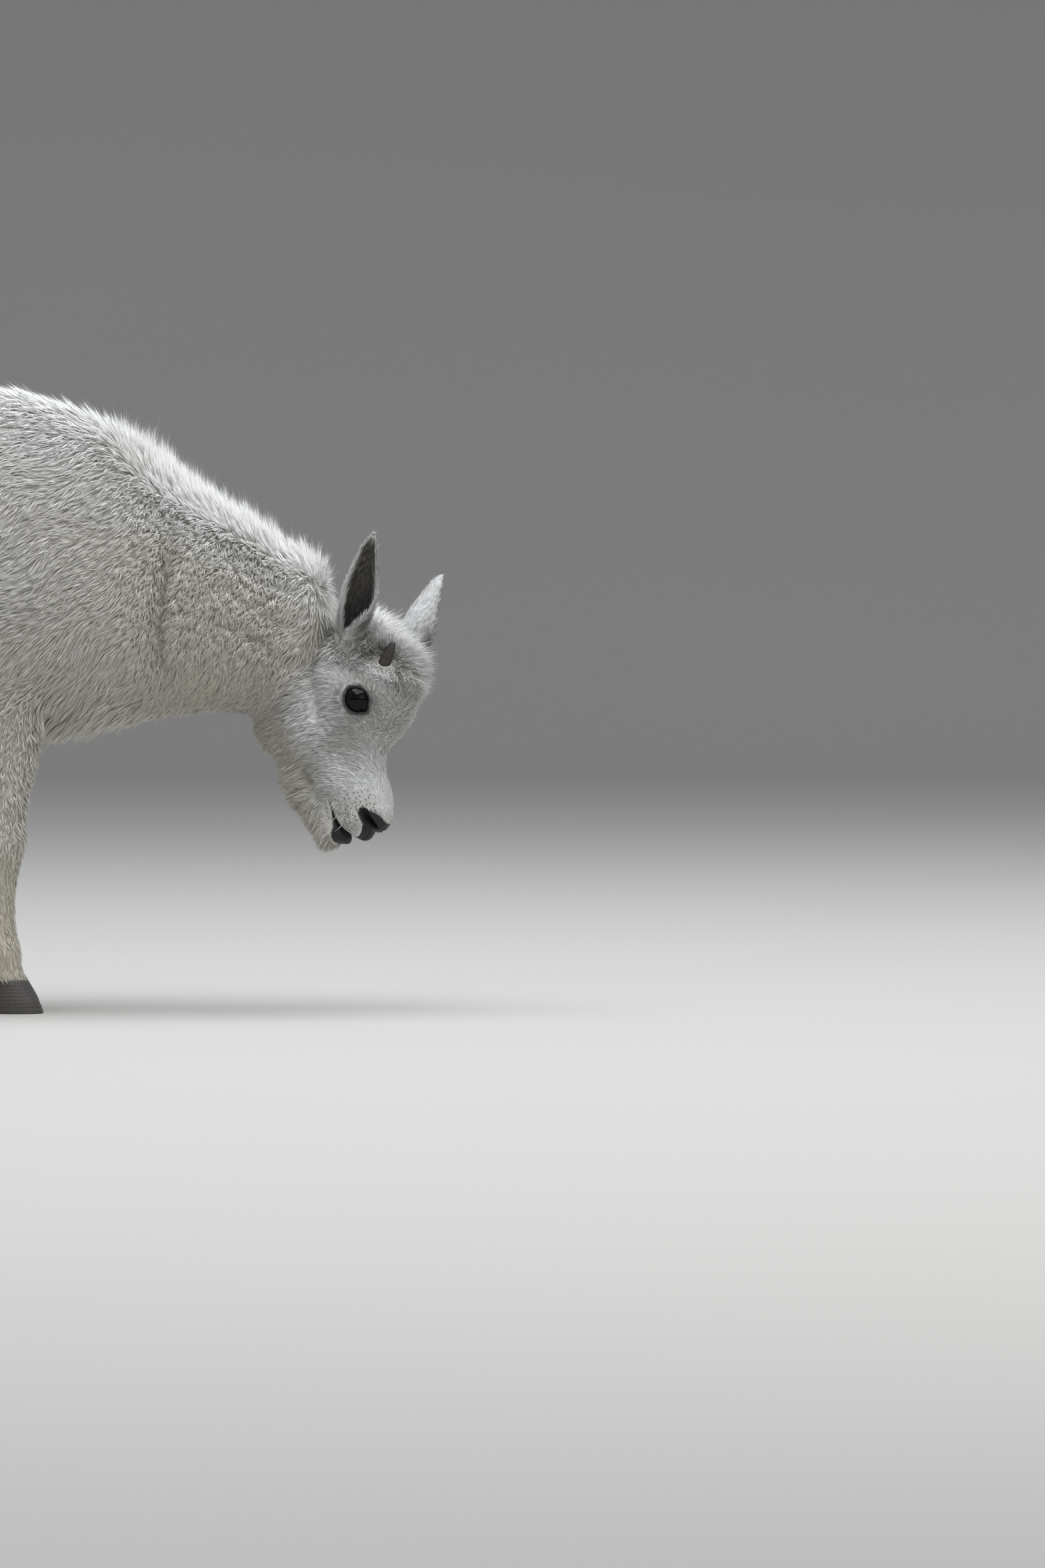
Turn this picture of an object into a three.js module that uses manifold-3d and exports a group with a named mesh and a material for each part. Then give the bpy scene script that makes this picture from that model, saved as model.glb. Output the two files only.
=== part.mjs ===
// A mountain goat kid, two to three months old, standing with its neck lowered and its
// face turned towards its right side. Millimetres, +X forward, +Y the animal's left, +Z up.
// The animal is shaped as one body, a trunk and a head, which thin flat cuts part into
// torso, neck and head. Legs, ears, horn buds, eyes and tail meet it with a thin gap. The
// long coat is joined to it: standing locks along the crest, overlapping locks on shoulder,
// flank and rump, and rounded clumps of wool on the neck and crown.
import * as THREE from "three";
import { LoftGeometry } from "three/addons/geometries/LoftGeometry.js";
import { mergeVertices } from "three/addons/utils/BufferGeometryUtils.js";
import Module from "manifold-3d";

const wasm = await Module();
wasm.setup();

// Driving dimensions. X is counted from the axis of the near foreleg in this section,
// and the finished model is moved so that its origin is at the middle of its footprint box.
const ORIGIN_X = -49.5; // the middle of the whole animal, behind the foreleg
const ORIGIN_Y = 0;
const GAP = 0.3; // between two pieces that touch
const WITHERS_HEIGHT = 474; // top of the shoulders, hair included
const FOOT_SPREAD = 50; // from the middle plane to the axis of a foot
const CORONET_HEIGHT = 24; // where a leg ends and its hoof begins
const HEAD_CENTRE = new THREE.Vector3(268, -18, 222); // midway between the eyes

// The trunk from rump to poll, hair included: X, top, bottom, half width, sideways shift,
// and how much narrower it is at the top than at the bottom.
const TRUNK = [
  [-404, 368, 332, 14, 0, 0],
  [-399, 388, 312, 34, 0, 0],
  [-386, 410, 288, 55, 0, 0.05],
  [-360, 430, 264, 71, 0, 0.08],
  [-320, 445, 246, 81, 0, 0.1],
  [-270, 452, 226, 87, 0, 0.12],
  [-200, 454, 211, 91, 0, 0.14],
  [-120, 461, 203, 90, 0, 0.2],
  [-60, 471, 198, 86, 0, 0.28],
  [0, WITHERS_HEIGHT, 196, 81, 0, 0.32],
  [44, 464, 199, 75, 0, 0.3],
  [89, 443, 207, 66, -1, 0.22],
  [134, 407, 214, 58, -2, 0.14],
  [182, 377, 217, 52, -1, 0.08],
  [212, 357, 208, 48, 1, 0.04],
  [236, 342, 224, 42, 2, 0],
  [252, 318, 250, 28, 2, 0],
];
const TRUNK_RINGS = 21;
const TRUNK_POINTS = 17;
const SHOULDER_CUT = { x: 100, z: 320, tilt: 0.3 }; // the plane where the neck begins
const POLL_CUT = { x: 216, z: 262, tilt: -0.42 }; // the plane where the head begins

// A leg from inside the trunk to the coronet: height, forward shift from the hoof's axis,
// half depth, half width, and sideways shift inwards.
const FORELEG = [
  [335, 0, 40, 24, 6],
  [290, -3, 46, 29, 2],
  [250, -6, 47, 30, 0],
  [215, -3, 43, 28.5, 0],
  [190, 1, 35, 25.5, 0],
  [165, 1, 28, 23, 0],
  [145, 0, 24.5, 22, 0],
  [128, 1, 24, 23, 0],
  [108, 0, 20.5, 19.5, 0],
  [85, -1, 18, 17.5, 0],
  [62, -1, 19, 18.5, 0],
  [48, 0, 21, 20, 0],
  [36, 4, 18, 17.5, 0],
  [CORONET_HEIGHT, 8, 17.5, 16.5, 0],
];
const HINDLEG = [
  [335, -22, 66, 30, 8],
  [290, -16, 70, 34, 4],
  [255, -8, 61, 33, 2],
  [225, -13, 49, 29, 1],
  [195, -24, 38, 25, 0],
  [170, -33, 31, 22.5, 0],
  [148, -38, 27.5, 21, 0],
  [125, -34, 22, 18.5, 0],
  [90, -24, 18.5, 17, 0],
  [65, -16, 18.5, 17.5, 0],
  [48, -10, 20.5, 19.5, 0],
  [36, -4, 18, 17.5, 0],
  [CORONET_HEIGHT, 0, 17.5, 16.5, 0],
];
const LEG_RINGS = 15;
const LEG_POINTS = 10;
const LEGS = {
  foreleg_right: { stations: FORELEG, x: 0, side: -1 },
  foreleg_left: { stations: FORELEG, x: -8, side: 1 },
  hindleg_right: { stations: HINDLEG, x: -308, side: -1 },
  hindleg_left: { stations: HINDLEG, x: -284, side: 1 },
};

// A hoof's claw: height, length, width and setback of its D-shaped outline.
const CLAW = [
  [0, 37, 15.5, 0],
  [8, 34, 15, -1.5],
  [16, 30, 13.5, -4],
  [CORONET_HEIGHT - GAP, 26, 12, -6.5],
];
const CLAW_POINTS = 8;
const CLAW_PARTING = 1.6; // half the space between the two claws
const CLAW_FORWARD = 9; // from the leg's axis to the middle of the sole
const DEWCLAW = { height: 42, radius: 5.5, length: 15, apart: 9, back: 19 };

// The head's own axes: towards the nose, to the animal's left, and out of the forehead.
const NOSEWARD = new THREE.Vector3(0.202, -0.351, -0.914).normalize();
const LEFTWARD = new THREE.Vector3(0.439, 0.867, -0.236).projectOnPlane(NOSEWARD).normalize();
const CROWNWARD = new THREE.Vector3().crossVectors(NOSEWARD, LEFTWARD);

// Rounded masses that blend into the head, in its own axes: two ends with a radius each,
// and a sideways flattening. A mass off the middle plane has a twin on the other side.
const HEAD_BLEND = 5;
const HEAD_MASSES = {
  cranium: { from: [-40, 0, 8], to: [-16, 0, 13], radii: [34, 37], flat: 0.94 },
  forehead: { from: [-16, 0, 27], to: [2, 0, 13], radii: [28, 27], flat: 1 },
  orbit: { from: [-6, 19, 10], to: [8, 17, 5], radii: [17, 15], flat: 1 },
  brow: { from: [-12, 24, 26], to: [4, 23, 21], radii: [8, 6], flat: 1 },
  face: { from: [12, 0, -6], to: [66, 0, -6], radii: [28, 16], flat: 0.9 },
  nose: { from: [68, 0, -3], to: [82, 0, -1], radii: [13.5, 10.5], flat: 1.1 },
  upper_lip: { from: [62, 10, -14], to: [81, 7, -14], radii: [12, 9.5], flat: 1 },
  tooth_row: { from: [16, 15, -24], to: [54, 11, -22], radii: [18, 13], flat: 1 },
  lower_jaw: { from: [-4, 0, -56], to: [60, 0, -44], radii: [20, 13], flat: 1 },
  chin: { from: [62, 0, -42], to: [81, 0, -40], radii: [12, 10.5], flat: 1.15 },
  cheek: { from: [-26, 20, -30], to: [10, 19, -34], radii: [23, 20], flat: 0.85 },
  jaw_angle: { from: [-30, 16, -46], to: [-4, 14, -58], radii: [18, 17], flat: 0.85 },
  cheekbone: { from: [16, 23, -6], to: [-24, 29, -2], radii: [8, 9], flat: 1 },
  throat: { from: [-48, 0, -34], to: [-30, 0, -44], radii: [26, 24], flat: 1 },
};
const HEAD_RINGS = 26;
const HEAD_POINTS = 22;

const EYE = { centre: [0, 25.5, 16], look: [0.3, 0.93, 0.16], radius: 13.2 };
const LID = { thickness: 2.2, opening: [12, 9.4], tilt: 0.35 };
const NOSTRIL = { at: [87, 8.5, -4], depth: 9, size: [5.2, 3] };
const MOUTH = { corner: [66, 18, -30], front: [92, 0, -25], height: 1.4, depth: 7 };
const HORN_BUD = { root: [-16, 19, 33], tip: [-34, 23, 51], radius: 4.6 };

// Ears stand apart: each has its own direction and the side that its cup faces.
const EARS = {
  ear_right: { root: [-51, -31, 18], along: [0.26, -0.3, 0.915], cup: [0.3, -0.95, -0.2] },
  ear_left: { root: [-49, 34, 28], along: [0.41, 0.57, 0.73], cup: [0.62, 0.62, -0.5] },
};
const EAR_LENGTH = 84;
const EAR_HALF_WIDTH = 13.5;
const EAR_THICKNESS = 2.6;
const EAR_RINGS = 11;
const EAR_ARC_POINTS = 8;

const TAIL = { root: [-388, 0, 404], tip: [-428, 0, 338], radii: [15, 17, 5] };

// The coat. The core of the trunk lies below the outline above by these depths, and locks
// and clumps rise from it out to the outline. On the crest: X, depth.
const CREST_DEPTH = [
  [-404, 6],
  [-300, 9],
  [-120, 10],
  [0, 13],
  [90, 17],
  [180, 18],
  [252, 12],
];
const SIDE_DEPTH = 7;
const SEED = 26;
const CREST = { rear: -376, front: 258, rows: [-0.46, 0, 0.46] }; // rows are angles from the top
const CREST_LOCK = { length: 48, width: 32, thickness: 7, spacing: [43, 21] }; // back, neck
const FLANK_LOCK = { length: 89, width: 65, thickness: 8, spacing: 62 };
const WOOL_CLUMP = { radius: 26, height: 11, spacing: 43.5 };
const CROWN_CLUMP = { radius: 12.5, height: 9.5 };
const CHIN_LOCK = { length: 17, width: 10, thickness: 4 };
const RUMP_END = -392; // no lock runs further back than this along the trunk
const LEG_ROOT_INSET = 4; // a lock may grow from the trunk this far inside a leg's outline

const COLOURS = {
  coat: new THREE.MeshStandardMaterial({ color: 0xd9d6cc, roughness: 0.95 }),
  leg_coat: new THREE.MeshStandardMaterial({ color: 0xd2ccb9, roughness: 0.95 }),
  ear: new THREE.MeshStandardMaterial({ color: 0xb4b2ae, roughness: 0.9 }),
  eye: new THREE.MeshStandardMaterial({ color: 0x0c0b0c, roughness: 0.08 }),
  horn: new THREE.MeshStandardMaterial({ color: 0x4a4440, roughness: 0.7 }),
  hoof: new THREE.MeshStandardMaterial({ color: 0x2e2b29, roughness: 0.6 }),
};

// General helpers

const vector = (x, y, z) => new THREE.Vector3(x, y, z);

// A closed mesh as a manifold-3d solid.
function solid(geometry) {
  const bare = new THREE.BufferGeometry();
  bare.setAttribute("position", geometry.getAttribute("position"));
  bare.setIndex(geometry.index);
  const merged = mergeVertices(bare, 1e-4);
  return new wasm.Manifold(
    new wasm.Mesh({
      numProp: 3,
      vertProperties: merged.attributes.position.array,
      triVerts: new Uint32Array(merged.index.array),
    }),
  );
}

// A solid skinned over rings of points. The rings may run either way round.
function loft(sections) {
  const [first, second] = sections;
  const area = vector(0, 0, 0);
  const advance = vector(0, 0, 0);
  first.forEach((point, i) => {
    area.add(new THREE.Vector3().crossVectors(point, first[(i + 1) % first.length]));
    advance.add(second[i]).sub(point);
  });
  const rings = area.dot(advance) < 0 ? sections.map((ring) => [...ring].reverse()) : sections;
  return solid(new LoftGeometry(rings, { closed: true, capStart: true, capEnd: true }));
}

function geometryOf(body) {
  const mesh = body.getMesh();
  const geometry = new THREE.BufferGeometry();
  geometry.setAttribute("position", new THREE.BufferAttribute(mesh.vertProperties, 3));
  geometry.setIndex(new THREE.BufferAttribute(mesh.triVerts, 1));
  geometry.computeVertexNormals();
  return geometry;
}

// The largest closed surface of a solid, without scraps that a cut left loose.
function largest(body) {
  return body.decompose().reduce((best, piece) => (piece.volume() > best.volume() ? piece : best));
}

// The row of a station table at a place between its rows, on a smooth curve through them.
function between(stations, t) {
  const last = stations.length - 1;
  const rising = stations[last][0] > stations[0][0];
  let i = 0;
  while (i < last - 1 && (rising ? stations[i + 1][0] < t : stations[i + 1][0] > t)) i += 1;
  const slope = (k, column) => {
    const before = stations[Math.max(k - 1, 0)];
    const after = stations[Math.min(k + 1, last)];
    return (after[column] - before[column]) / (after[0] - before[0]);
  };
  const [low, high] = [stations[i], stations[i + 1]];
  const span = high[0] - low[0];
  const u = (t - low[0]) / span;
  return low.map((value, column) => {
    if (column === 0) return t;
    const rise = high[column] - value;
    const start = slope(i, column) * span;
    const end = slope(i + 1, column) * span;
    return value + u * (start + u * (3 * rise - 2 * start - end + u * (start + end - 2 * rise)));
  });
}

// Half of space as a huge box: what lies on the side that the normal points away from.
function halfSpace(point, normal) {
  const size = 3000;
  const box = new THREE.BoxGeometry(size, size, size).translate(-size / 2, 0, 0);
  const turn = new THREE.Quaternion().setFromUnitVectors(vector(1, 0, 0), normal.clone().normalize());
  box.applyQuaternion(turn).translate(point.x, point.y, point.z);
  return solid(box);
}

// A repeatable stream of numbers from 0 to 1.
function randomStream(seed) {
  let state = seed;
  return () => {
    state = (state + 0x6d2b79f5) | 0;
    let t = Math.imul(state ^ (state >>> 15), 1 | state);
    t = (t + Math.imul(t ^ (t >>> 7), 61 | t)) ^ t;
    return ((t ^ (t >>> 14)) >>> 0) / 4294967296;
  };
}

// Trunk

// A point of the trunk's core, at an angle that starts on the animal's left and rises.
function trunkPoint(x, angle, grown = 0) {
  const [, top, bottom, halfWidth, shift, pinch] = between(TRUNK, x);
  const rise = Math.sin(angle);
  const crest = Math.pow(Math.max(rise, 0), 6);
  const depth = THREE.MathUtils.lerp(SIDE_DEPTH, between(CREST_DEPTH, x)[1], crest) - grown;
  const width = Math.max(halfWidth - depth, 3);
  const height = Math.max((top - bottom) / 2 - depth, 3);
  const y = shift + width * (1 - pinch * rise) * Math.cos(angle);
  return vector(x, y, (top + bottom) / 2 + height * rise);
}

// A place on the trunk's core with the directions out of it, backwards and down along it.
function trunkPlace(x, angle) {
  const point = trunkPoint(x, angle);
  const step = 4;
  const back = trunkPoint(x - step, angle).sub(trunkPoint(x + step, angle)).normalize();
  const sideways = Math.cos(angle) < 0 ? 1 : -1;
  const turn = 0.03 * sideways;
  const down = trunkPoint(x, angle + turn).sub(trunkPoint(x, angle - turn)).normalize();
  const normal = new THREE.Vector3().crossVectors(back, down).normalize();
  const [, top, bottom] = between(TRUNK, x);
  const outward = point.clone().sub(vector(x, 0, (top + bottom) / 2));
  if (normal.dot(outward) < 0) normal.negate();
  return { point, normal, back, down };
}

function makeTrunk(grown = 0) {
  const rear = TRUNK[0][0];
  const front = TRUNK[TRUNK.length - 1][0];
  const sections = [];
  for (let i = 0; i <= TRUNK_RINGS; i += 1) {
    const even = i / TRUNK_RINGS;
    // closer rings at both ends, where the form rounds off
    const u = even - 0.09 * Math.sin(2 * Math.PI * even);
    const x = THREE.MathUtils.lerp(rear - grown, front + grown, u);
    const section = [];
    for (let j = 0; j < TRUNK_POINTS; j += 1) {
      section.push(trunkPoint(x, (2 * Math.PI * j) / TRUNK_POINTS, grown));
    }
    sections.push(section);
  }
  return loft(sections);
}

// Coat

// A flat tapered lock that follows a surface: track gives the place on it and the direction
// out of it at each share of the lock's length. The root is sunk, the tip stands out by
// lift, and sway bends it sideways. Its section is a low roof.
function makeLock(track, { length, width, thickness, lift, sway = 0 }) {
  const shape = [
    [0, 0.6, -1.15],
    [0.36, 1, 0.45],
    [0.74, 0.72, 0.85],
    [1, 0.07, 1],
  ];
  const sections = shape.map(([along, wide, high]) => {
    const { point, normal } = track(along);
    const step = 0.02;
    const tangent = track(along + step).point.sub(track(along - step).point);
    const across = new THREE.Vector3().crossVectors(tangent, normal).normalize();
    const middle = point.clone().addScaledVector(normal, high > 0 ? lift * high : thickness * high);
    middle.addScaledVector(across, sway * length * along * along);
    const half = (width * wide) / 2;
    const deep = thickness * Math.min(1, 0.2 + 1.3 * wide);
    const corner = (aside, rise) =>
      middle.clone().addScaledVector(across, aside * half).addScaledVector(normal, rise * deep);
    return [corner(1, -1), corner(-0.8 * sway, 0), corner(-1, -1)];
  });
  return loft(sections);
}

// A lock's track over the trunk, from a root at X and an angle from the top. It runs
// backwards and, by the slope, downwards, and turns down where the rump ends.
function trunkTrack({ x, fromTop, side, slope, length }) {
  const run = length / Math.hypot(1, slope);
  const [, top, bottom, halfWidth] = between(TRUNK, x);
  const radius = Math.hypot(halfWidth * Math.cos(fromTop), ((top - bottom) / 2) * Math.sin(fromTop));
  return (share) => {
    const wanted = x - run * share;
    const past = Math.max(0, RUMP_END - wanted);
    const drop = (run * slope * share + past) / radius;
    return trunkPlace(Math.max(wanted, RUMP_END), Math.PI / 2 + side * (fromTop + drop));
  };
}

// A rounded clump of wool, half sunk in the surface.
function makeClump({ point, normal, size, height, turn }) {
  const ball = new THREE.SphereGeometry(1, 6, 4);
  ball.rotateY(turn);
  ball.scale(size, height, size * 0.88);
  ball.applyQuaternion(new THREE.Quaternion().setFromUnitVectors(vector(0, 1, 0), normal));
  ball.translate(point.x, point.y, point.z);
  return solid(ball);
}

// Whether a lock may have its root at a place: not inside a leg, and clear of the tail.
function isFree(place) {
  for (const { stations, x, side } of Object.values(LEGS)) {
    const [, forward, halfDepth, halfWidth, inwards] = between(stations, place.z);
    const u = (place.x - x - forward) / (halfDepth - LEG_ROOT_INSET);
    const v = (place.y - side * (FOOT_SPREAD - inwards)) / (halfWidth - LEG_ROOT_INSET);
    if (place.z < stations[0][0] && u * u + v * v < 1) return false;
  }
  const tail = new THREE.Line3(vector(...TAIL.root), vector(...TAIL.tip));
  const nearest = tail.closestPointToPoint(place, true, vector(0, 0, 0));
  return place.distanceTo(nearest) > TAIL.radii[1];
}

// The standing crest from rump to poll: a row along the middle line, and a lower one on
// each side that leans outwards.
function crestLocks(random) {
  const locks = [];
  CREST.rows.forEach((offset, row) => {
    const outer = offset !== 0;
    let x = CREST.rear + 9 * row;
    while (x < CREST.front) {
      const neck = THREE.MathUtils.smoothstep(x, -60, 110);
      const fromTop = Math.abs(offset) * (1 - 0.2 * neck) + 0.02;
      const side = offset === 0 ? Math.sign(random() - 0.5) : Math.sign(offset);
      const lift = between(CREST_DEPTH, x)[1] * (outer ? 0.7 : 1) * (0.92 + 0.16 * random());
      const stand = THREE.MathUtils.lerp(0.95, outer ? 0.8 : 0.55, neck);
      const length = CREST_LOCK.length * stand * (0.9 + 0.2 * random());
      const width = CREST_LOCK.width * (0.9 + 0.25 * random());
      const slope = (outer ? 0.5 : 0) + 0.3 * (random() - 0.5);
      const sway = 0.5 * (random() - 0.5);
      const track = trunkTrack({ x, fromTop, side, slope, length });
      if (isFree(track(0).point)) {
        locks.push(makeLock(track, { ...CREST_LOCK, length, width, lift, sway }));
      }
      const [onBack, onNeck] = CREST_LOCK.spacing;
      const step = THREE.MathUtils.lerp(onBack, onNeck, neck) * (outer ? 1.35 : 1);
      x += step * (0.94 + 0.12 * random());
    }
  });
  return locks;
}

// Even places over both sides of the trunk from a top angle down to the belly: columns
// along it, each shifted by half a step from the one before.
function coatPlaces({ front, rear, spacing, top }, random) {
  const places = [];
  for (let column = 0, x = front; x > rear; column += 1, x -= spacing * 0.87) {
    const [, high, low, halfWidth] = between(TRUNK, x);
    const half = Math.PI * Math.sqrt(((high - low) ** 2 / 4 + halfWidth ** 2) / 2);
    const count = Math.max(2, Math.round((half * (1 - top / Math.PI)) / spacing));
    for (const side of [-1, 1]) {
      for (let i = 0; i < count; i += 1) {
        const u = (i + (column % 2 ? 0.62 : 0.12)) / count;
        // the sides are steeper than the top, so rows there are closer in angle
        const even = THREE.MathUtils.lerp(top, Math.PI, u) + 0.08 * (random() - 0.5);
        const fromTop = even + 0.13 * Math.sin(2 * even);
        places.push({ x: x + 0.2 * spacing * (random() - 0.5), fromTop, side });
      }
    }
  }
  return places;
}

// Soft overlapping locks over shoulder, flank, rump and belly, which lie back and down.
function flankLocks(random) {
  const locks = [];
  const { spacing } = FLANK_LOCK;
  for (const place of coatPlaces({ front: 96, rear: -384, spacing, top: 0.58 }, random)) {
    const scale = 0.88 + 0.24 * random();
    const length = FLANK_LOCK.length * scale;
    const width = FLANK_LOCK.width * scale;
    const lift = SIDE_DEPTH * (0.85 + 0.3 * random());
    const slope = 0.8 * Math.sin(place.fromTop) + 0.4 * (random() - 0.5);
    const sway = 0.5 * (random() - 0.5);
    const track = trunkTrack({ ...place, slope, length });
    if (isFree(track(0).point) && isFree(track(0.6).point)) {
      locks.push(makeLock(track, { ...FLANK_LOCK, length, width, lift, sway }));
    }
  }
  return locks;
}

// Crinkled wool on the sides and underside of the neck, as rounded clumps set close.
function neckClumps(random) {
  const { spacing } = WOOL_CLUMP;
  const places = coatPlaces({ front: 224, rear: 92, spacing, top: 0.58 }, random);
  return places.map(({ x, fromTop, side }) =>
    makeClump({
      ...trunkPlace(x, Math.PI / 2 + side * fromTop),
      size: WOOL_CLUMP.radius * (0.88 + 0.24 * random()),
      height: WOOL_CLUMP.height * (0.8 + 0.3 * random()),
      turn: 2 * Math.PI * random(),
    }),
  );
}

// Head

function smoothUnion(distances, blend) {
  let sum = 0;
  for (const distance of distances) sum += Math.exp(-distance / blend);
  return -blend * Math.log(sum);
}

// Distance to a mass: positive outside, in a space stretched sideways by its flattening.
function massDistance({ from, to, radii, flat }, point, side) {
  const middle = side * from[1];
  const lean = side * (to[1] - from[1]);
  const stretched = (y) => middle + (y - middle) / flat;
  const a = vector(from[0], middle, from[2]);
  const b = vector(to[0], middle + lean / flat, to[2]);
  const p = vector(point.x, stretched(point.y), point.z);
  const ab = b.sub(a);
  const ap = p.sub(a);
  const t = THREE.MathUtils.clamp(ap.dot(ab) / ab.lengthSq(), 0, 1);
  const radius = THREE.MathUtils.lerp(radii[0], radii[1], t);
  return (ap.sub(ab.multiplyScalar(t)).length() - radius) * Math.min(flat, 1);
}

function headDistance(point) {
  const distances = [];
  for (const mass of Object.values(HEAD_MASSES)) {
    distances.push(massDistance(mass, point, 1));
    if (mass.from[1] !== 0) distances.push(massDistance(mass, point, -1));
  }
  return smoothUnion(distances, HEAD_BLEND);
}

// The first place on a ray from inside the head where its surface is reached.
function headSurface(start, direction, grown) {
  const reach = (r) => headDistance(start.clone().addScaledVector(direction, r)) - grown;
  const step = 3;
  let far = step;
  while (reach(far) < 0 && far < 150) far += step;
  let near = far - step;
  for (let i = 0; i < 12; i += 1) {
    const middle = (near + far) / 2;
    if (reach(middle) < 0) near = middle;
    else far = middle;
  }
  return start.clone().addScaledVector(direction, far);
}

// From the head's own axes to the animal's.
function headToBody([x, y, z]) {
  return HEAD_CENTRE.clone()
    .addScaledVector(NOSEWARD, x)
    .addScaledVector(LEFTWARD, y)
    .addScaledVector(CROWNWARD, z);
}

function headDirection([x, y, z]) {
  return headToBody([x, y, z]).sub(HEAD_CENTRE).normalize();
}

// Rings of rays from a line inside the head, which fan out backwards at the occiput and
// forwards at the nose.
function makeHead(grown = 0) {
  const sections = [];
  for (let i = 0; i <= HEAD_RINGS; i += 1) {
    const u = i / HEAD_RINGS;
    const fan = Math.PI * 0.47 * (Math.pow(u, 6) - Math.pow(1 - u, 3.2));
    const base = vector(
      THREE.MathUtils.lerp(-44, 76, THREE.MathUtils.smoothstep(u, 0.04, 0.9)),
      0,
      THREE.MathUtils.lerp(-8, -15, u),
    );
    const section = [];
    for (let j = 0; j < HEAD_POINTS; j += 1) {
      const angle = (2 * Math.PI * (j + 0.5)) / HEAD_POINTS;
      const direction = vector(
        Math.sin(fan),
        Math.cos(fan) * Math.cos(angle),
        Math.cos(fan) * Math.sin(angle),
      );
      const found = headSurface(base, direction, grown);
      section.push(headToBody([found.x, found.y, found.z]));
    }
    sections.push(section);
  }
  return loft(sections);
}

// The woolly crown between and in front of the ears as clumps, and a small chin tuft as
// locks. Each has its root on a ray from inside the head.
function headCoat(random) {
  const rootOf = (start, ray) => {
    const direction = vector(...ray).normalize();
    const found = headSurface(vector(...start), direction, 0);
    return {
      point: headToBody([found.x, found.y, found.z]),
      normal: headDirection([direction.x, direction.y, direction.z]),
    };
  };
  const rows = [
    { x: -38, angles: [-0.3, 0.3], scale: 1.6 },
    { x: -20, angles: [0], scale: 1.25 },
    { x: -6, angles: [-0.5, 0, 0.5], scale: 1 },
    { x: 8, angles: [-0.34, 0.34], scale: 1 },
  ];
  const pieces = [];
  for (const { x, angles, scale } of rows) {
    for (const angle of angles) {
      const root = rootOf([0.4 * x, 0, 8], [x, 40 * Math.sin(angle), 40 * Math.cos(angle)]);
      const size = CROWN_CLUMP.radius * Math.sqrt(scale) * (0.92 + 0.16 * random());
      const height = CROWN_CLUMP.height * scale;
      pieces.push(makeClump({ ...root, size, height, turn: 2 * Math.PI * random() }));
    }
  }
  for (const y of [-7, 0, 7]) {
    const root = rootOf([64, y, -38], [0.15, 0.02 * y, -1]);
    const lie = headDirection([1, 0.06 * y, 0]).projectOnPlane(root.normal).normalize();
    const track = (share) => ({
      point: root.point.clone().addScaledVector(lie, CHIN_LOCK.length * share),
      normal: root.normal,
    });
    pieces.push(makeLock(track, { ...CHIN_LOCK, lift: 2.5 }));
  }
  return pieces;
}

// Legs

function makeLeg({ stations, x, side }, grown = 0) {
  const top = stations[0][0];
  const sections = [];
  for (let i = 0; i <= LEG_RINGS; i += 1) {
    const z = THREE.MathUtils.lerp(top, CORONET_HEIGHT, i / LEG_RINGS);
    const [, forward, halfDepth, halfWidth, inwards] = between(stations, z);
    const section = [];
    for (let j = 0; j < LEG_POINTS; j += 1) {
      const angle = (2 * Math.PI * j) / LEG_POINTS;
      section.push(
        vector(
          x + forward + (halfDepth + grown) * Math.cos(angle),
          side * (FOOT_SPREAD - inwards) + (halfWidth + grown) * Math.sin(angle),
          z,
        ),
      );
    }
    sections.push(section);
  }
  return loft(sections);
}

// One claw of a hoof: a D-shaped outline that is straight along the cleft.
function makeClaw(footX, footY, side) {
  const sections = CLAW.map(([z, length, width, setback]) => {
    const section = [];
    for (let j = 0; j < CLAW_POINTS; j += 1) {
      const angle = (Math.PI * j) / (CLAW_POINTS - 1);
      const along = (Math.cos(angle) * length) / 2;
      const across = width * Math.pow(Math.sin(angle), 0.7);
      section.push(
        vector(
          footX + CLAW_FORWARD + setback + along,
          footY + side * (CLAW_PARTING + across),
          z,
        ),
      );
    }
    return section;
  });
  return loft(sections);
}

// A small blunt claw behind the pastern.
function makeDewclaw(footX, footY, side) {
  const ball = new THREE.SphereGeometry(DEWCLAW.radius, 6, 4);
  ball.scale(1, 0.8, DEWCLAW.length / (2 * DEWCLAW.radius));
  ball.rotateY(0.3);
  ball.translate(footX - DEWCLAW.back, footY + side * DEWCLAW.apart, DEWCLAW.height);
  return solid(ball);
}

// Ears

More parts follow.
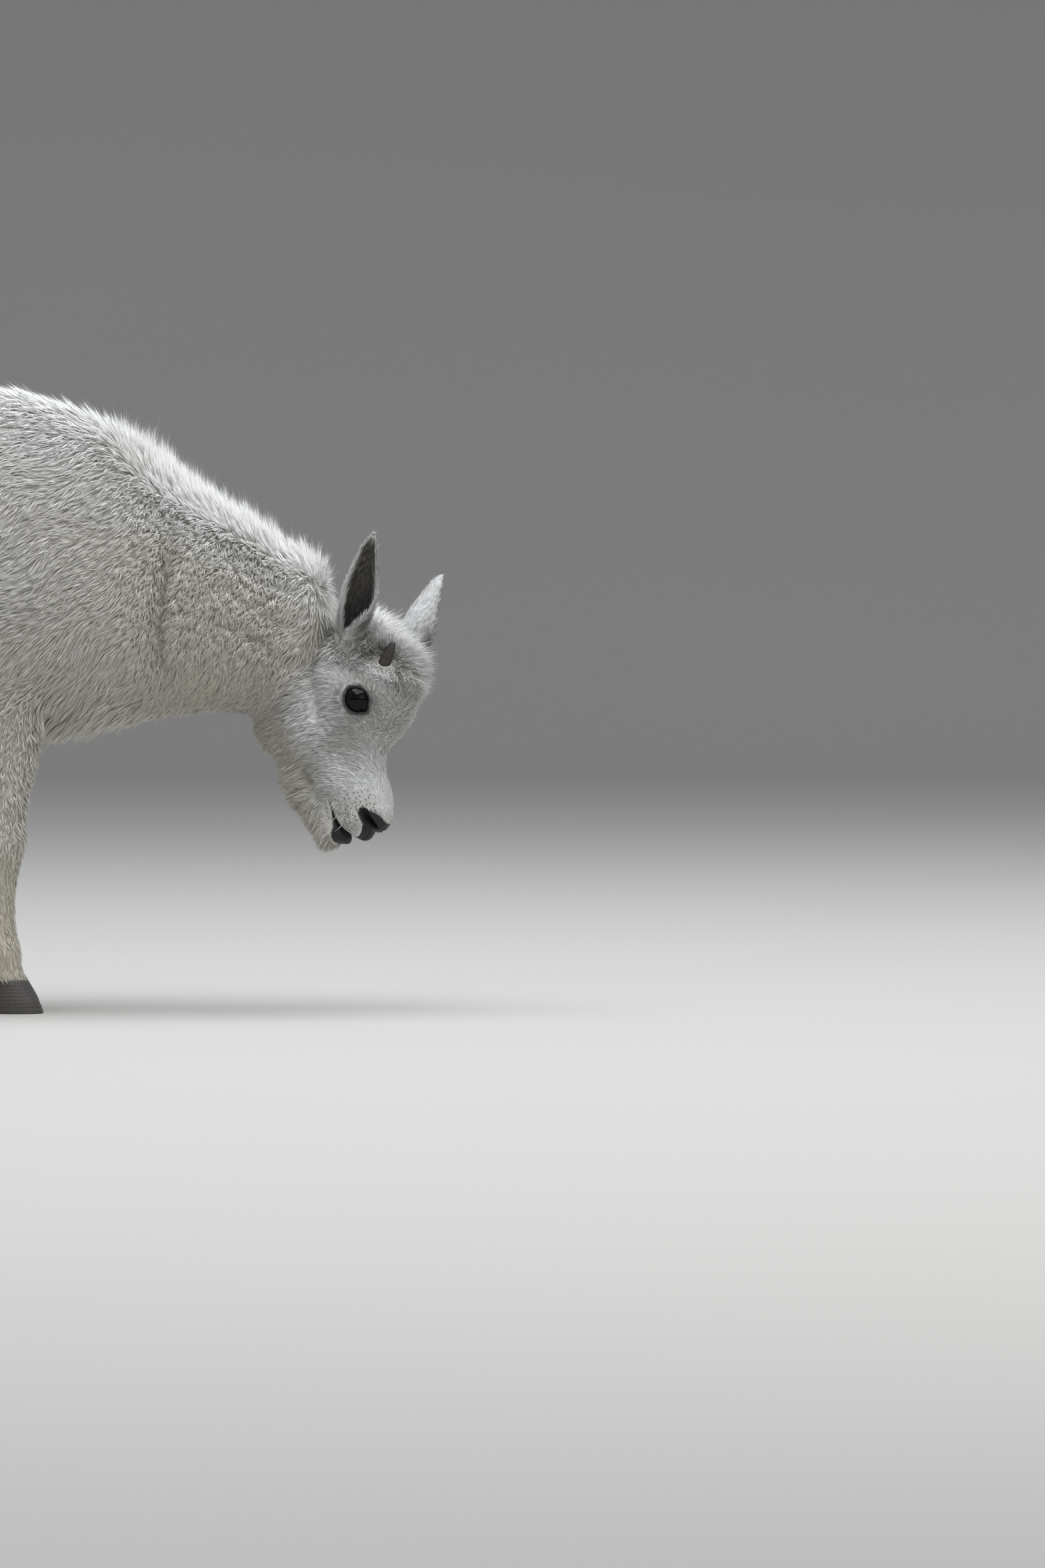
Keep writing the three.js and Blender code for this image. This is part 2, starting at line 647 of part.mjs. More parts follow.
// A cup that is nearly a closed tube at its root and opens towards its tip: each section
// is a curved strip, the outer arc one way round and the inner arc back.
function makeEar({ root, along, cup }, grown = 0) {
  const axis = vector(...along).normalize();
  const face = vector(...cup).projectOnPlane(axis).normalize();
  const across = new THREE.Vector3().crossVectors(axis, face);
  const start = headToBody(root);
  const sections = [];
  for (let i = 0; i <= EAR_RINGS; i += 1) {
    const u = i / EAR_RINGS;
    const bulge = Math.sin(Math.PI * Math.pow(u, 0.72)) * 0.44 + 0.56;
    const taper = Math.pow(1 - u, 0.42) * (1 - 0.1 * u) + 0.05;
    const halfWidth = EAR_HALF_WIDTH * bulge * Math.min(1, taper * 1.25);
    const spread = THREE.MathUtils.lerp(2.5, 1.0, Math.pow(u, 0.7));
    const radius = spread > Math.PI / 2 ? halfWidth : halfWidth / Math.sin(spread);
    const thickness = EAR_THICKNESS * (1 - 0.45 * u) + 2 * grown;
    const middle = start.clone().addScaledVector(axis, EAR_LENGTH * u);
    // the arc's back stays on the axis, so the cup is open in front of it
    middle.addScaledVector(face, radius * 0.5);
    const section = [];
    const put = (angle, r) =>
      section.push(
        middle
          .clone()
          .addScaledVector(face, -r * Math.cos(angle))
          .addScaledVector(across, r * Math.sin(angle)),
      );
    for (let j = 0; j < EAR_ARC_POINTS; j += 1) {
      put(THREE.MathUtils.lerp(-spread, spread, j / (EAR_ARC_POINTS - 1)), radius + grown);
    }
    for (let j = EAR_ARC_POINTS - 1; j >= 0; j -= 1) {
      const angle = THREE.MathUtils.lerp(-spread, spread, j / (EAR_ARC_POINTS - 1));
      put(angle, Math.max(radius - thickness, radius * 0.35));
    }
    sections.push(section);
  }
  return loft(sections);
}

// Face details

function eyeAxes(side) {
  const centre = headToBody([EYE.centre[0], side * EYE.centre[1], EYE.centre[2]]);
  const look = headDirection([EYE.look[0], side * EYE.look[1], EYE.look[2]]);
  return { centre, look };
}

// An eyeball whose cornea bulges a little out of its ball.
function makeEye(side, grown = 0) {
  const { centre, look } = eyeAxes(side);
  const profile = [];
  const steps = 9;
  for (let i = 0; i <= steps; i += 1) {
    const angle = Math.PI * (1 - i / steps);
    const bulge = 1.1 * Math.exp(-Math.pow(angle / 0.55, 2));
    const r = EYE.radius + grown + bulge;
    profile.push(new THREE.Vector2(i % steps === 0 ? 0 : r * Math.sin(angle), r * Math.cos(angle)));
  }
  const ball = new THREE.LatheGeometry(profile, 14);
  ball.applyQuaternion(new THREE.Quaternion().setFromUnitVectors(vector(0, 1, 0), look));
  ball.translate(centre.x, centre.y, centre.z);
  return solid(ball);
}

// The skin round an eye: a thin bowl over the eyeball with an almond-shaped opening.
function addLids(head, side) {
  const { centre, look } = eyeAxes(side);
  const bowl = new THREE.SphereGeometry(EYE.radius + LID.thickness, 12, 8);
  bowl.translate(centre.x, centre.y, centre.z);
  const up = headDirection([-Math.sin(LID.tilt), 0, Math.cos(LID.tilt)]).projectOnPlane(look).normalize();
  const aside = new THREE.Vector3().crossVectors(up, look);
  const [long, high] = LID.opening;
  const noseward = -side * long; // the almond's pointed corner is towards the nose
  const almond = new THREE.Shape();
  almond.moveTo(-noseward, 0);
  almond.quadraticCurveTo(-noseward * 0.5, high * 1.5, noseward * 0.15, high * 1.05);
  almond.quadraticCurveTo(noseward * 0.8, high * 0.7, noseward, -1);
  almond.quadraticCurveTo(noseward * 0.1, -high * 1.7, -noseward, 0);
  const opening = new THREE.ExtrudeGeometry(almond, {
    depth: EYE.radius * 3,
    bevelEnabled: false,
    curveSegments: 6,
  });
  opening.applyMatrix4(new THREE.Matrix4().makeBasis(aside, up, look));
  opening.translate(centre.x, centre.y, centre.z);
  return head.add(solid(bowl)).subtract(makeEye(side, GAP)).subtract(solid(opening));
}

function nostrilCut(side) {
  const [x, y, z] = NOSTRIL.at;
  const [high, wide] = NOSTRIL.size;
  const sections = [];
  const steps = 4;
  for (let i = 0; i <= steps; i += 1) {
    const u = i / steps;
    const shrink = 1 - 0.7 * u * u;
    const section = [];
    const points = 7;
    for (let j = 0; j < points; j += 1) {
      const angle = (2 * Math.PI * j) / points;
      const rise = high * shrink * Math.sin(angle);
      section.push(
        headToBody([
          x + 6 - (NOSTRIL.depth + 6) * u + 0.25 * rise,
          side * (y + 3.5 - 6 * u + wide * shrink * Math.cos(angle) - 0.35 * rise),
          z + rise - 1.5 * u,
        ]),
      );
    }
    sections.push(section);
  }
  return loft(sections);
}

// The line of the mouth: a thin bent slit from one corner round the front to the other.
function mouthCut() {
  const sections = [];
  const steps = 12;
  for (let i = 0; i <= steps; i += 1) {
    const angle = THREE.MathUtils.lerp(-1, 1, i / steps) * Math.PI * 0.5;
    const u = Math.abs(Math.sin(angle));
    const x = THREE.MathUtils.lerp(MOUTH.front[0], MOUTH.corner[0], Math.pow(u, 2.2));
    const y = MOUTH.corner[1] * Math.sign(angle) * Math.pow(u, 0.8);
    const z = THREE.MathUtils.lerp(MOUTH.front[2], MOUTH.corner[2], u) + 2 * Math.sin(Math.PI * u);
    const out = vector(Math.cos(angle), Math.sin(angle), 0);
    const half = MOUTH.height / 2;
    const corner = (reach, rise) =>
      headToBody([x + out.x * reach, y + out.y * reach, z + rise * half]);
    sections.push([corner(6, 1), corner(6, -1), corner(-MOUTH.depth, -0.6), corner(-MOUTH.depth, 0.6)]);
  }
  return loft(sections);
}

// A blunt cone that leans outwards and a little back.
function makeHornBud(side, grown = 0) {
  const root = headToBody([HORN_BUD.root[0], side * HORN_BUD.root[1], HORN_BUD.root[2]]);
  const tip = headToBody([HORN_BUD.tip[0], side * HORN_BUD.tip[1], HORN_BUD.tip[2]]);
  const profile = [];
  const steps = 5;
  const length = root.distanceTo(tip) + grown;
  profile.push(new THREE.Vector2(0, 0));
  for (let i = 0; i < steps; i += 1) {
    const u = i / steps;
    profile.push(new THREE.Vector2((HORN_BUD.radius + grown) * Math.sqrt(1 - u * u), length * u));
  }
  profile.push(new THREE.Vector2(0, length));
  const cone = new THREE.LatheGeometry(profile, 8);
  const direction = tip.clone().sub(root).normalize();
  cone.applyQuaternion(new THREE.Quaternion().setFromUnitVectors(vector(0, 1, 0), direction));
  cone.translate(root.x, root.y, root.z);
  return solid(cone);
}

// Tail

function makeTail(grown = 0) {
  const root = vector(...TAIL.root);
  const tip = vector(...TAIL.tip);
  const bend = root.clone().lerp(tip, 0.5).add(vector(-10, 0, 8));
  const curve = new THREE.QuadraticBezierCurve3(root, bend, tip);
  const sections = [];
  const steps = 8;
  const points = 10;
  for (let i = 0; i <= steps; i += 1) {
    const u = i / steps;
    const middle = curve.getPoint(u);
    const tangent = curve.getTangent(u);
    const back = new THREE.Vector3().crossVectors(tangent, vector(0, 1, 0)).normalize();
    const [first, widest, last] = TAIL.radii;
    const r = u < 0.4
      ? THREE.MathUtils.lerp(first, widest, u / 0.4)
      : THREE.MathUtils.lerp(widest, last, Math.pow((u - 0.4) / 0.6, 1.6));
    const section = [];
    for (let j = 0; j < points; j += 1) {
      const angle = (2 * Math.PI * j) / points;
      section.push(
        middle
          .clone()
          .addScaledVector(back, (0.62 * r + grown) * Math.sin(angle))
          .addScaledVector(vector(0, 1, 0), (r + grown) * Math.cos(angle)),
      );
    }
    sections.push(section);
  }
  return loft(sections);
}

// Assembly

const goat = new THREE.Group();
const shifted = new THREE.Group();
shifted.position.set(-ORIGIN_X, ORIGIN_Y, 0);
goat.add(shifted);

function place(name, body, material) {
  const mesh = new THREE.Mesh(geometryOf(largest(body)), material);
  mesh.name = name;
  shifted.add(mesh);
}

const headGrown = makeHead(GAP);
const trunkGrown = makeTrunk(GAP);
const legBodies = Object.entries(LEGS).map(([name, leg]) => [name, leg, makeLeg(leg, GAP)]);
const sides = [[-1, "right"], [1, "left"]];
let head = makeHead();
for (const side of [-1, 1]) head = addLids(head, side);
head = head.subtract(nostrilCut(-1)).subtract(nostrilCut(1)).subtract(mouthCut());

// The coat's locks and clumps keep clear of what has a node of its own.
const random = randomStream(SEED);
const noLocks = [
  ...legBodies.map(([, , grown]) => grown),
  ...sides.map(([side]) => makeEye(side, 2)),
  ...sides.map(([side]) => makeHornBud(side, GAP)),
  ...Object.values(EARS).map((ear) => makeEar(ear, GAP)),
  makeTail(GAP),
];
const cleared = (pieces) => wasm.Manifold.union(pieces).subtract(wasm.Manifold.union(noLocks));
const coat = cleared([...crestLocks(random), ...flankLocks(random), ...neckClumps(random)]);
const whole = makeTrunk().add(coat).add(largest(head)).add(cleared(headCoat(random)));
const planeNormal = ({ tilt }) => vector(Math.cos(tilt), 0, Math.sin(tilt));
const planePoint = ({ x, z }, shift) => vector(x + shift, 0, z);
const behind = (cut) => halfSpace(planePoint(cut, -GAP / 2), planeNormal(cut));
const ahead = (cut) => halfSpace(planePoint(cut, GAP / 2), planeNormal(cut).negate());

place("torso", whole.intersect(behind(SHOULDER_CUT)), COLOURS.coat);
place("neck", whole.intersect(ahead(SHOULDER_CUT)).intersect(behind(POLL_CUT)), COLOURS.coat);
place("head", whole.intersect(ahead(POLL_CUT)), COLOURS.coat);
place("tail", makeTail().subtract(trunkGrown), COLOURS.coat);

for (const [side, word] of sides) {
  place("eye_" + word, makeEye(side), COLOURS.eye);
  place("horn_bud_" + word, makeHornBud(side).subtract(headGrown), COLOURS.horn);
}
for (const [name, ear] of Object.entries(EARS)) {
  place(name, makeEar(ear).subtract(headGrown).subtract(trunkGrown), COLOURS.ear);
}

for (const [name, leg, legGrown] of legBodies) {
  place(name, makeLeg(leg).subtract(trunkGrown), COLOURS.leg_coat);
  const coronetShift = leg.stations[leg.stations.length - 1][1];
  const footX = leg.x + coronetShift;
  const footY = leg.side * FOOT_SPREAD;
  for (const [side, word] of [[leg.side, "outer"], [-leg.side, "inner"]]) {
    const stem = name.replace("leg", "hoof");
    place(stem + "_" + word, makeClaw(footX, footY, side), COLOURS.hoof);
    const dewclaw = makeDewclaw(footX, footY, side).subtract(legGrown);
    place(name.replace("leg", "dewclaw") + "_" + word, dewclaw, COLOURS.hoof);
  }
}

export default goat;
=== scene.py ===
"""A mountain goat kid as a still, life-size display model: its skin, coat, face, ears, horn
buds and hooves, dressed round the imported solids, with a plain studio. The tables below are
in millimetres, with X counted from the axis of the near foreleg, Y to the animal's left and
Z up; to_frame turns them into the frame's metres."""
import math

import bmesh
import bpy
import numpy as np
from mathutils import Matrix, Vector
from mathutils.kdtree import KDTree


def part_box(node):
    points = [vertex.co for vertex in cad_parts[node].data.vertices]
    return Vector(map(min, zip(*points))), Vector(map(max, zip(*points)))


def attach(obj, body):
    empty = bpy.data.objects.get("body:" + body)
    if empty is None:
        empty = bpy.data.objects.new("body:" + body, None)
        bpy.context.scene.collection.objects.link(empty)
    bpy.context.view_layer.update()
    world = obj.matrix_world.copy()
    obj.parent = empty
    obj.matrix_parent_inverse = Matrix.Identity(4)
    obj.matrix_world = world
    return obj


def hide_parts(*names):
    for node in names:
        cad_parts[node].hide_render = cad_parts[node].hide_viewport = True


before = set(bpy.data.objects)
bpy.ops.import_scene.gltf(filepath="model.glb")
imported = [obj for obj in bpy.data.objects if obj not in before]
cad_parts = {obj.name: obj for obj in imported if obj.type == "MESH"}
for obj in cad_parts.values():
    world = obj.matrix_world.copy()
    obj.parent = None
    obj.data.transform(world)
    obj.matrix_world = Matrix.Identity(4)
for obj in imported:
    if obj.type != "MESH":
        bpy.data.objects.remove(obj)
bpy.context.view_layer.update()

bl_info = {
    "name": "Mountain goat kid",
    "version": (1, 0, 0),
    "blender": (4, 5, 0),
    "location": "View3D > Sidebar > Goat kid",
    "description": "Builds the skin, coat, face and hooves of a mountain goat kid, and a studio",
    "category": "Object",
}

MM = 0.001

# The near fore hoof stands ahead of the leg's axis by this much, so the frame gives X = 0.
HOOF_AHEAD = 17.0
_claw_low, _claw_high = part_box("forehoof_right_outer")
ORIGIN_X = (_claw_low.x + _claw_high.x) / 2 / MM - HOOF_AHEAD

# The trunk from rump to poll, hair included: X, top, bottom, half width, sideways shift,
# and how much narrower it is at the top than at the bottom.
TRUNK = np.array([
    [-404, 368, 332, 14, 0, 0], [-399, 388, 312, 34, 0, 0], [-386, 410, 288, 55, 0, 0.05],
    [-360, 430, 264, 71, 0, 0.08], [-320, 445, 246, 81, 0, 0.1], [-270, 452, 226, 87, 0, 0.12],
    [-200, 454, 211, 91, 0, 0.14], [-120, 461, 203, 90, 0, 0.2], [-60, 471, 198, 86, 0, 0.28],
    [0, 474, 196, 81, 0, 0.32], [44, 464, 199, 75, 0, 0.3], [89, 443, 207, 66, -1, 0.22],
    [134, 407, 214, 58, -2, 0.14], [182, 377, 217, 52, -1, 0.08], [212, 357, 208, 48, 1, 0.04],
    [236, 342, 224, 42, 2, 0], [252, 318, 250, 28, 2, 0],
])

# A leg from inside the trunk to the coronet: height, forward shift, half depth, half
# width and sideways shift inwards.
FORELEG = np.array([
    [335, 0, 40, 24, 6], [290, -3, 46, 29, 2], [250, -6, 47, 30, 0], [215, -3, 43, 28.5, 0],
    [190, 1, 35, 25.5, 0], [165, 1, 28, 23, 0], [145, 0, 24.5, 22, 0], [128, 1, 24, 23, 0],
    [108, 0, 20.5, 19.5, 0], [85, -1, 18, 17.5, 0], [62, -1, 19, 18.5, 0], [48, 0, 21, 20, 0],
    [36, 4, 18, 17.5, 0], [24, 8, 17.5, 16.5, 0],
])
HINDLEG = np.array([
    [335, -22, 66, 30, 8], [290, -16, 70, 34, 4], [255, -8, 61, 33, 2], [225, -13, 49, 29, 1],
    [195, -24, 38, 25, 0], [170, -33, 31, 22.5, 0], [148, -38, 27.5, 21, 0], [125, -34, 22, 18.5, 0],
    [90, -24, 18.5, 17, 0], [65, -16, 18.5, 17.5, 0], [48, -10, 20.5, 19.5, 0],
    [36, -4, 18, 17.5, 0], [24, 0, 17.5, 16.5, 0],
])
FOOT_SPREAD = 50.0
CORONET = 24.0
SKIN_END = 17.0  # the skin of a leg is cut off inside its hoof
LEGS = {
    "foreleg_right": (FORELEG, 0.0, -1),
    "foreleg_left": (FORELEG, -8.0, 1),
    "hindleg_right": (HINDLEG, -308.0, -1),
    "hindleg_left": (HINDLEG, -284.0, 1),
}
SIDES = (-1, 1)
SIDE_NAMES = {-1: "right", 1: "left"}


def unit(v):
    v = np.asarray(v, float)
    return v / np.maximum(np.linalg.norm(v, axis=-1, keepdims=True), 1e-12)


# The head's own axes: towards the nose, to the animal's left, and out of the forehead.
HEAD_CENTRE = np.array([268.0, -18.0, 222.0])
NOSEWARD = unit([0.202, -0.351, -0.914])
_leftward = np.array([0.439, 0.867, -0.236])
LEFTWARD = unit(_leftward - NOSEWARD * (_leftward @ NOSEWARD))
HEAD_AXES = np.array([NOSEWARD, LEFTWARD, np.cross(NOSEWARD, LEFTWARD)])

# Rounded masses that blend into the head: two ends, a radius at each, and a sideways
# flattening. A mass off the middle plane has a twin on the other side.
HEAD_BLEND = 5.0
HEAD_REACH = 160  # farther off than this the head counts for nothing
FAR = 1000.0
HEAD_MASSES = {
    "cranium": ((-40, 0, 8), (-16, 0, 13), (34, 37), 0.94),
    "forehead": ((-16, 0, 27), (2, 0, 13), (28, 27), 1),
    "orbit": ((-6, 19, 10), (8, 17, 5), (17, 15), 1),
    "brow": ((-12, 24, 26), (4, 23, 21), (8, 6), 1),
    "face": ((12, 0, -6), (66, 0, -6), (28, 16), 0.9),
    "nose": ((68, 0, -3), (82, 0, -1), (13.5, 10.5), 1.1),
    "upper_lip": ((62, 10, -14), (81, 7, -14), (12, 9.5), 1),
    "tooth_row": ((16, 15, -24), (54, 11, -22), (18, 13), 1),
    "lower_jaw": ((-4, 0, -56), (60, 0, -44), (20, 13), 1),
    "chin": ((62, 0, -42), (81, 0, -40), (12, 10.5), 1.15),
    "cheek": ((-26, 20, -30), (10, 19, -34), (23, 20), 0.85),
    "jaw_angle": ((-30, 16, -46), (-4, 14, -58), (18, 17), 0.85),
    "cheekbone": ((16, 23, -6), (-24, 29, -2), (8, 9), 1),
    "throat": ((-48, 0, -34), (-30, 0, -44), (26, 24), 1),
}

EYE_CENTRE = np.array([0, 25.5, 16.0])
EYE_LOOK = np.array([0.3, 0.93, 0.16])
EYE_RADIUS = 13.2
EYE_OPENING = (10.4, 9.3)  # half length and half height of the gap between the lids
EYE_TILT = 0.35
# the line between the lips, from corner to front: forward, up
MOUTH = np.array([(60, -27.2), (67, -27.8), (75, -29.8), (81, -29.2), (86, -27), (90, -23.5), (94, -20)])
# the bare nose on one side: distance from the middle, its upper edge and its lower edge
NOSE = np.array([(0, 6.4, -23), (5.5, 6.4, -22), (7.8, 6.2, -16), (9.6, 5.8, -11.5), (12, 4.2, -8.0),
                 (15, 0.8, -7.8), (17.3, -3.2, -8.2), (18.8, -6.6, -8.0)])
NOSTRIL = (11.0, -2.4)  # its middle, aside and up
HORN_BUD = {"root": (-16, 19, 33), "tip": (-34, 22.7, 51), "radius": 4.9}

EARS = {
    "ear_right": {"root": (-51, -31, 18), "along": (0.26, -0.3, 0.915), "cup": (0.3, -0.95, -0.2)},
    "ear_left": {"root": (-49, 34, 28), "along": (0.41, 0.57, 0.73), "cup": (0.62, 0.62, -0.5)},
}
EAR_LENGTH = 84.0
EAR_HALF_WIDTH = 13.5
FOLD_SHARE = 0.45  # marks the part of an ear's back that wraps over the cup
CREASE_DEPTH = 7.5  # of the fold between neck and shoulder
TAIL_ROOT = np.array([-388, 0, 404.0])
TAIL_BEND = np.array([-416, 0, 384.0])
TAIL_TIP = np.array([-428, 0, 338.0])


# General helpers

def to_frame(points):
    return (np.asarray(points, float) + [ORIGIN_X, 0, 0]) * MM


def head_to_body(points):
    return HEAD_CENTRE + np.asarray(points, float) @ HEAD_AXES


def body_to_head(points):
    return (np.asarray(points, float) - HEAD_CENTRE) @ HEAD_AXES.T


def lengths(v):
    return np.linalg.norm(v, axis=1)


def from_head_middle(h):
    return lengths(h - [10, 0, -10])


def ramp(x, low, high):
    """Smooth step from 0 at low to 1 at high."""
    t = np.clip((np.asarray(x, float) - low) / (high - low), 0, 1)
    return t * t * (3 - 2 * t)


def hill(x, middle, width):
    return np.exp(-(((np.asarray(x, float) - middle) / width) ** 2))


def linear(hex_colour):
    """An sRGB hex colour as linear red, green and blue."""
    channels = [int(hex_colour[i:i + 2], 16) / 255 for i in (1, 3, 5)]
    return np.array([c / 12.92 if c <= 0.04045 else ((c + 0.055) / 1.055) ** 2.4 for c in channels])


def mix(base, colour, share):
    share = np.clip(share, 0, 1)[:, None]
    return base * (1 - share) + np.asarray(colour) * share


def waves(points, size, seed, count=6):
    """Smooth noise from -1 to 1, as a sum of waves of about one size in random directions."""
    rng = np.random.default_rng(seed)
    total = np.zeros(len(points))
    for _ in range(count):
        direction = unit(rng.normal(size=3)) * 2 * np.pi / (size * rng.uniform(0.7, 1.5))
        total += np.sin(points @ direction + rng.uniform(0, 2 * np.pi))
    return total / count * 1.7


def between(table, t):
    """The columns of a station table between its rows, on a smooth curve through them."""
    rows = table if table[0, 0] < table[-1, 0] else table[::-1]
    last = len(rows) - 1
    t = np.clip(t, rows[0, 0], rows[-1, 0])
    k = np.arange(len(rows))
    after, before = rows[np.minimum(k + 1, last)], rows[np.maximum(k - 1, 0)]
    slopes = (after - before) / (after[:, :1] - before[:, :1])
    i = np.clip(np.searchsorted(rows[:, 0], t) - 1, 0, last - 1)
    low, high = rows[i], rows[i + 1]
    span = high[:, :1] - low[:, :1]
    u = (t[:, None] - low[:, :1]) / span
    rise = high - low
    start, end = slopes[i] * span, slopes[i + 1] * span
    value = low + u * (start + u * (3 * rise - 2 * start - end + u * (start + end - 2 * rise)))
    return value[:, 1:].T


# The animal's form as distances to its surface, hair included

def ellipse_distance(a, b, half_a, half_b):
    q = np.hypot(a / half_a, b / half_b)
    return np.where(q < 1e-3, -np.minimum(half_a, half_b), np.hypot(a, b) * (1 - 1 / np.maximum(q, 1e-3)))


def capped(distance, beyond):
    outside = np.hypot(np.maximum(distance, 0), np.maximum(beyond, 0))
    return outside + np.minimum(np.maximum(distance, beyond), 0)


def trunk_distance(p):
    x = np.clip(p[:, 0], TRUNK[0, 0] + 0.5, TRUNK[-1, 0] - 0.5)
    top, bottom, half_width, shift, pinch = between(TRUNK, x)
    half_height = (top - bottom) / 2
    up = p[:, 2] - (top + bottom) / 2
    width = half_width * (1 - pinch * np.clip(up / half_height, -1, 1))
    beyond = np.maximum(TRUNK[0, 0] - p[:, 0], p[:, 0] - TRUNK[-1, 0])
    return capped(ellipse_distance(p[:, 1] - shift, up, width, half_height), beyond)


def leg_distance(p, leg):
    stations, x, side = leg
    forward, half_depth, half_width, inwards = between(stations, p[:, 2])
    along = p[:, 0] - x - forward
    across = p[:, 1] - side * (FOOT_SPREAD - inwards)
    beyond = np.maximum(p[:, 2] - stations[0, 0], SKIN_END - p[:, 2])
    return capped(ellipse_distance(along, across, half_depth, half_width), beyond)


def cone_distance(p, start, end, radii, flat=1.0):
    start, end = np.asarray(start, float), np.asarray(end, float)
    middle = start[1]
    q = p.copy()
    q[:, 1] = middle + (p[:, 1] - middle) / flat
    axis = end - start
    axis[1] /= flat
    to = q - start
    t = np.clip(to @ axis / (axis @ axis), 0, 1)
    radius = radii[0] + (radii[1] - radii[0]) * t
    return (lengths(to - t[:, None] * axis) - radius) * min(flat, 1)


def smooth_union(distances, blend):
    stack = np.stack(distances)
    low = stack.min(0)
    return low - blend * np.log(np.exp(-(stack - low) / blend).sum(0))


def head_distance(h):
    distances = []
    for start, end, radii, flat in HEAD_MASSES.values():
        for side in (1, -1) if start[1] else (1,):
            turned = [(c[0], side * c[1], c[2]) for c in (start, end)]
            distances.append(cone_distance(h, *turned, radii, flat))
    return smooth_union(distances, HEAD_BLEND)


def tail_distance(p):
    q = p * [1, 0.75, 1]
    upper = cone_distance(q, TAIL_ROOT, TAIL_BEND, (12, 13))
    return np.minimum(upper, cone_distance(q, TAIL_BEND, TAIL_TIP, (13, 5)))


class Place:
    """Where points lie on the animal, as distances and as shares from 0 to 1."""

    def __init__(self, p):
        self.p, self.h = p, body_to_head(p)
        x, y, z = self.x, self.y, self.z = p.T
        ahead, aside, up = self.ahead, self.aside, self.up = self.h.T
        self.trunk = trunk_distance(p)
        self.legs = [leg_distance(p, leg) for leg in LEGS.values()]
        near = from_head_middle(self.h) < HEAD_REACH
        self.head = np.full(len(p), FAR)
        if near.any():
            self.head[near] = head_distance(self.h[near])
        self.tail = tail_distance(p)
        top, bottom, _, shift, _ = between(TRUNK, np.clip(x, TRUNK[0, 0], TRUNK[-1, 0]))
        self.rise = np.clip((z - (top + bottom) / 2) / ((top - bottom) / 2), -1, 1)
        self.side = np.sign(y - shift)
        self.on_head = ramp(self.trunk - self.head, -14, 14)
        self.on_leg = ramp(self.trunk - np.min(self.legs, axis=0), -4, 22) * (1 - self.on_head)
        self.on_tail = ramp(self.trunk - self.tail, 0, 6) * (x < -380) * (z > 300)
        self.body = (1 - self.on_head) * (1 - self.on_leg) * (1 - self.on_tail)
        self.crest = ramp(self.rise, 0.72, 0.97) * self.body
        self.on_neck = ramp(x, 88, 132) * self.body
        self.belly = ramp(-self.rise, 0.55, 0.95) * self.body
        high = ramp(0.6 * up - 0.8 * ahead, 22, 42)
        self.crown = self.on_head * high * (1 - ramp(np.abs(aside), 27, 38))
        low = ramp(-up - 0.45 * (ahead - 10), -8, 36)
        self.cheek = self.on_head * low * ramp(-up, -14, 14)

    def outline(self):
        joined = smooth_union([self.trunk, *self.legs], 7.0)
        # the end of the neck stays inside the cheek
        inset = 6 * ramp(self.x, 220, 240) * (1 - ramp(self.rise, -0.1, 0.4)) * ramp(-self.head, -14, -2)
        joined = smooth_union([joined + inset, self.head], 8.0)
        return smooth_union([joined, self.tail], 3.0)

    def crease(self):
        """The folds of skin between neck and shoulder and behind the cheek, as depths."""
        x, z = self.x, self.z
        line = 131 + 5 * np.sin(z / 26) + 3 * self.side
        shoulder = CREASE_DEPTH * hill(x, line, 6) * ramp(z, 240, 275) * ramp(-z, -372, -330)
        folds = 0
        for row, height in enumerate((296, 322, 345)):
            level = height - 0.42 * (x - 150) + 4 * np.sin(x / 13 + row)
            folds = folds + 2.2 * hill(z, level, 4.5) * ramp(x, 150, 176) * ramp(-x, -236, -214)
        return (shoulder + folds) * self.body * (1 - self.crest)

    def coat_depth(self):
        x = self.x
        crest_depth = 11 + 4 * ramp(x, -120, 20) + 6 * ramp(x, 60, 140) - 4 * ramp(x, 200, 250)
        depth = 9 + 3 * self.belly + (crest_depth - 9) * ramp(self.rise, 0.7, 1.0)
        leg_depth = 3.6 + 5 * ramp(self.z, 90, 260)
        depth = depth * (1 - self.on_leg) + leg_depth * self.on_leg
        head_depth = 3.0 - 2.4 * ramp(self.ahead, 40, 76) + 1.5 * self.cheek + 1.5 * self.crown
        depth = depth * (1 - self.on_head) + head_depth * self.on_head
        return depth * (1 - self.on_tail) + 5 * self.on_tail + self.crease()


def skin_value(p):
    """Roughly the distance outside the skin, which lies under the coat."""
    place = Place(p)
    return place.outline() + place.coat_depth()


def onto_skin(p, rounds, reach=3.0, step=0.4):
    """Moves points to the skin's surface along its slope."""
    for _ in range(rounds):
        value = skin_value(p)
        slope = np.empty_like(p)
        for axis in range(3):
            moved = p.copy()
            moved[:, axis] += step
            slope[:, axis] = (skin_value(moved) - value) / step
        move = -value[:, None] * slope / np.maximum((slope**2).sum(1, keepdims=True), 0.05)
        p = p + move * np.minimum(1, reach / np.maximum(lengths(move)[:, None], 1e-9))
    return p


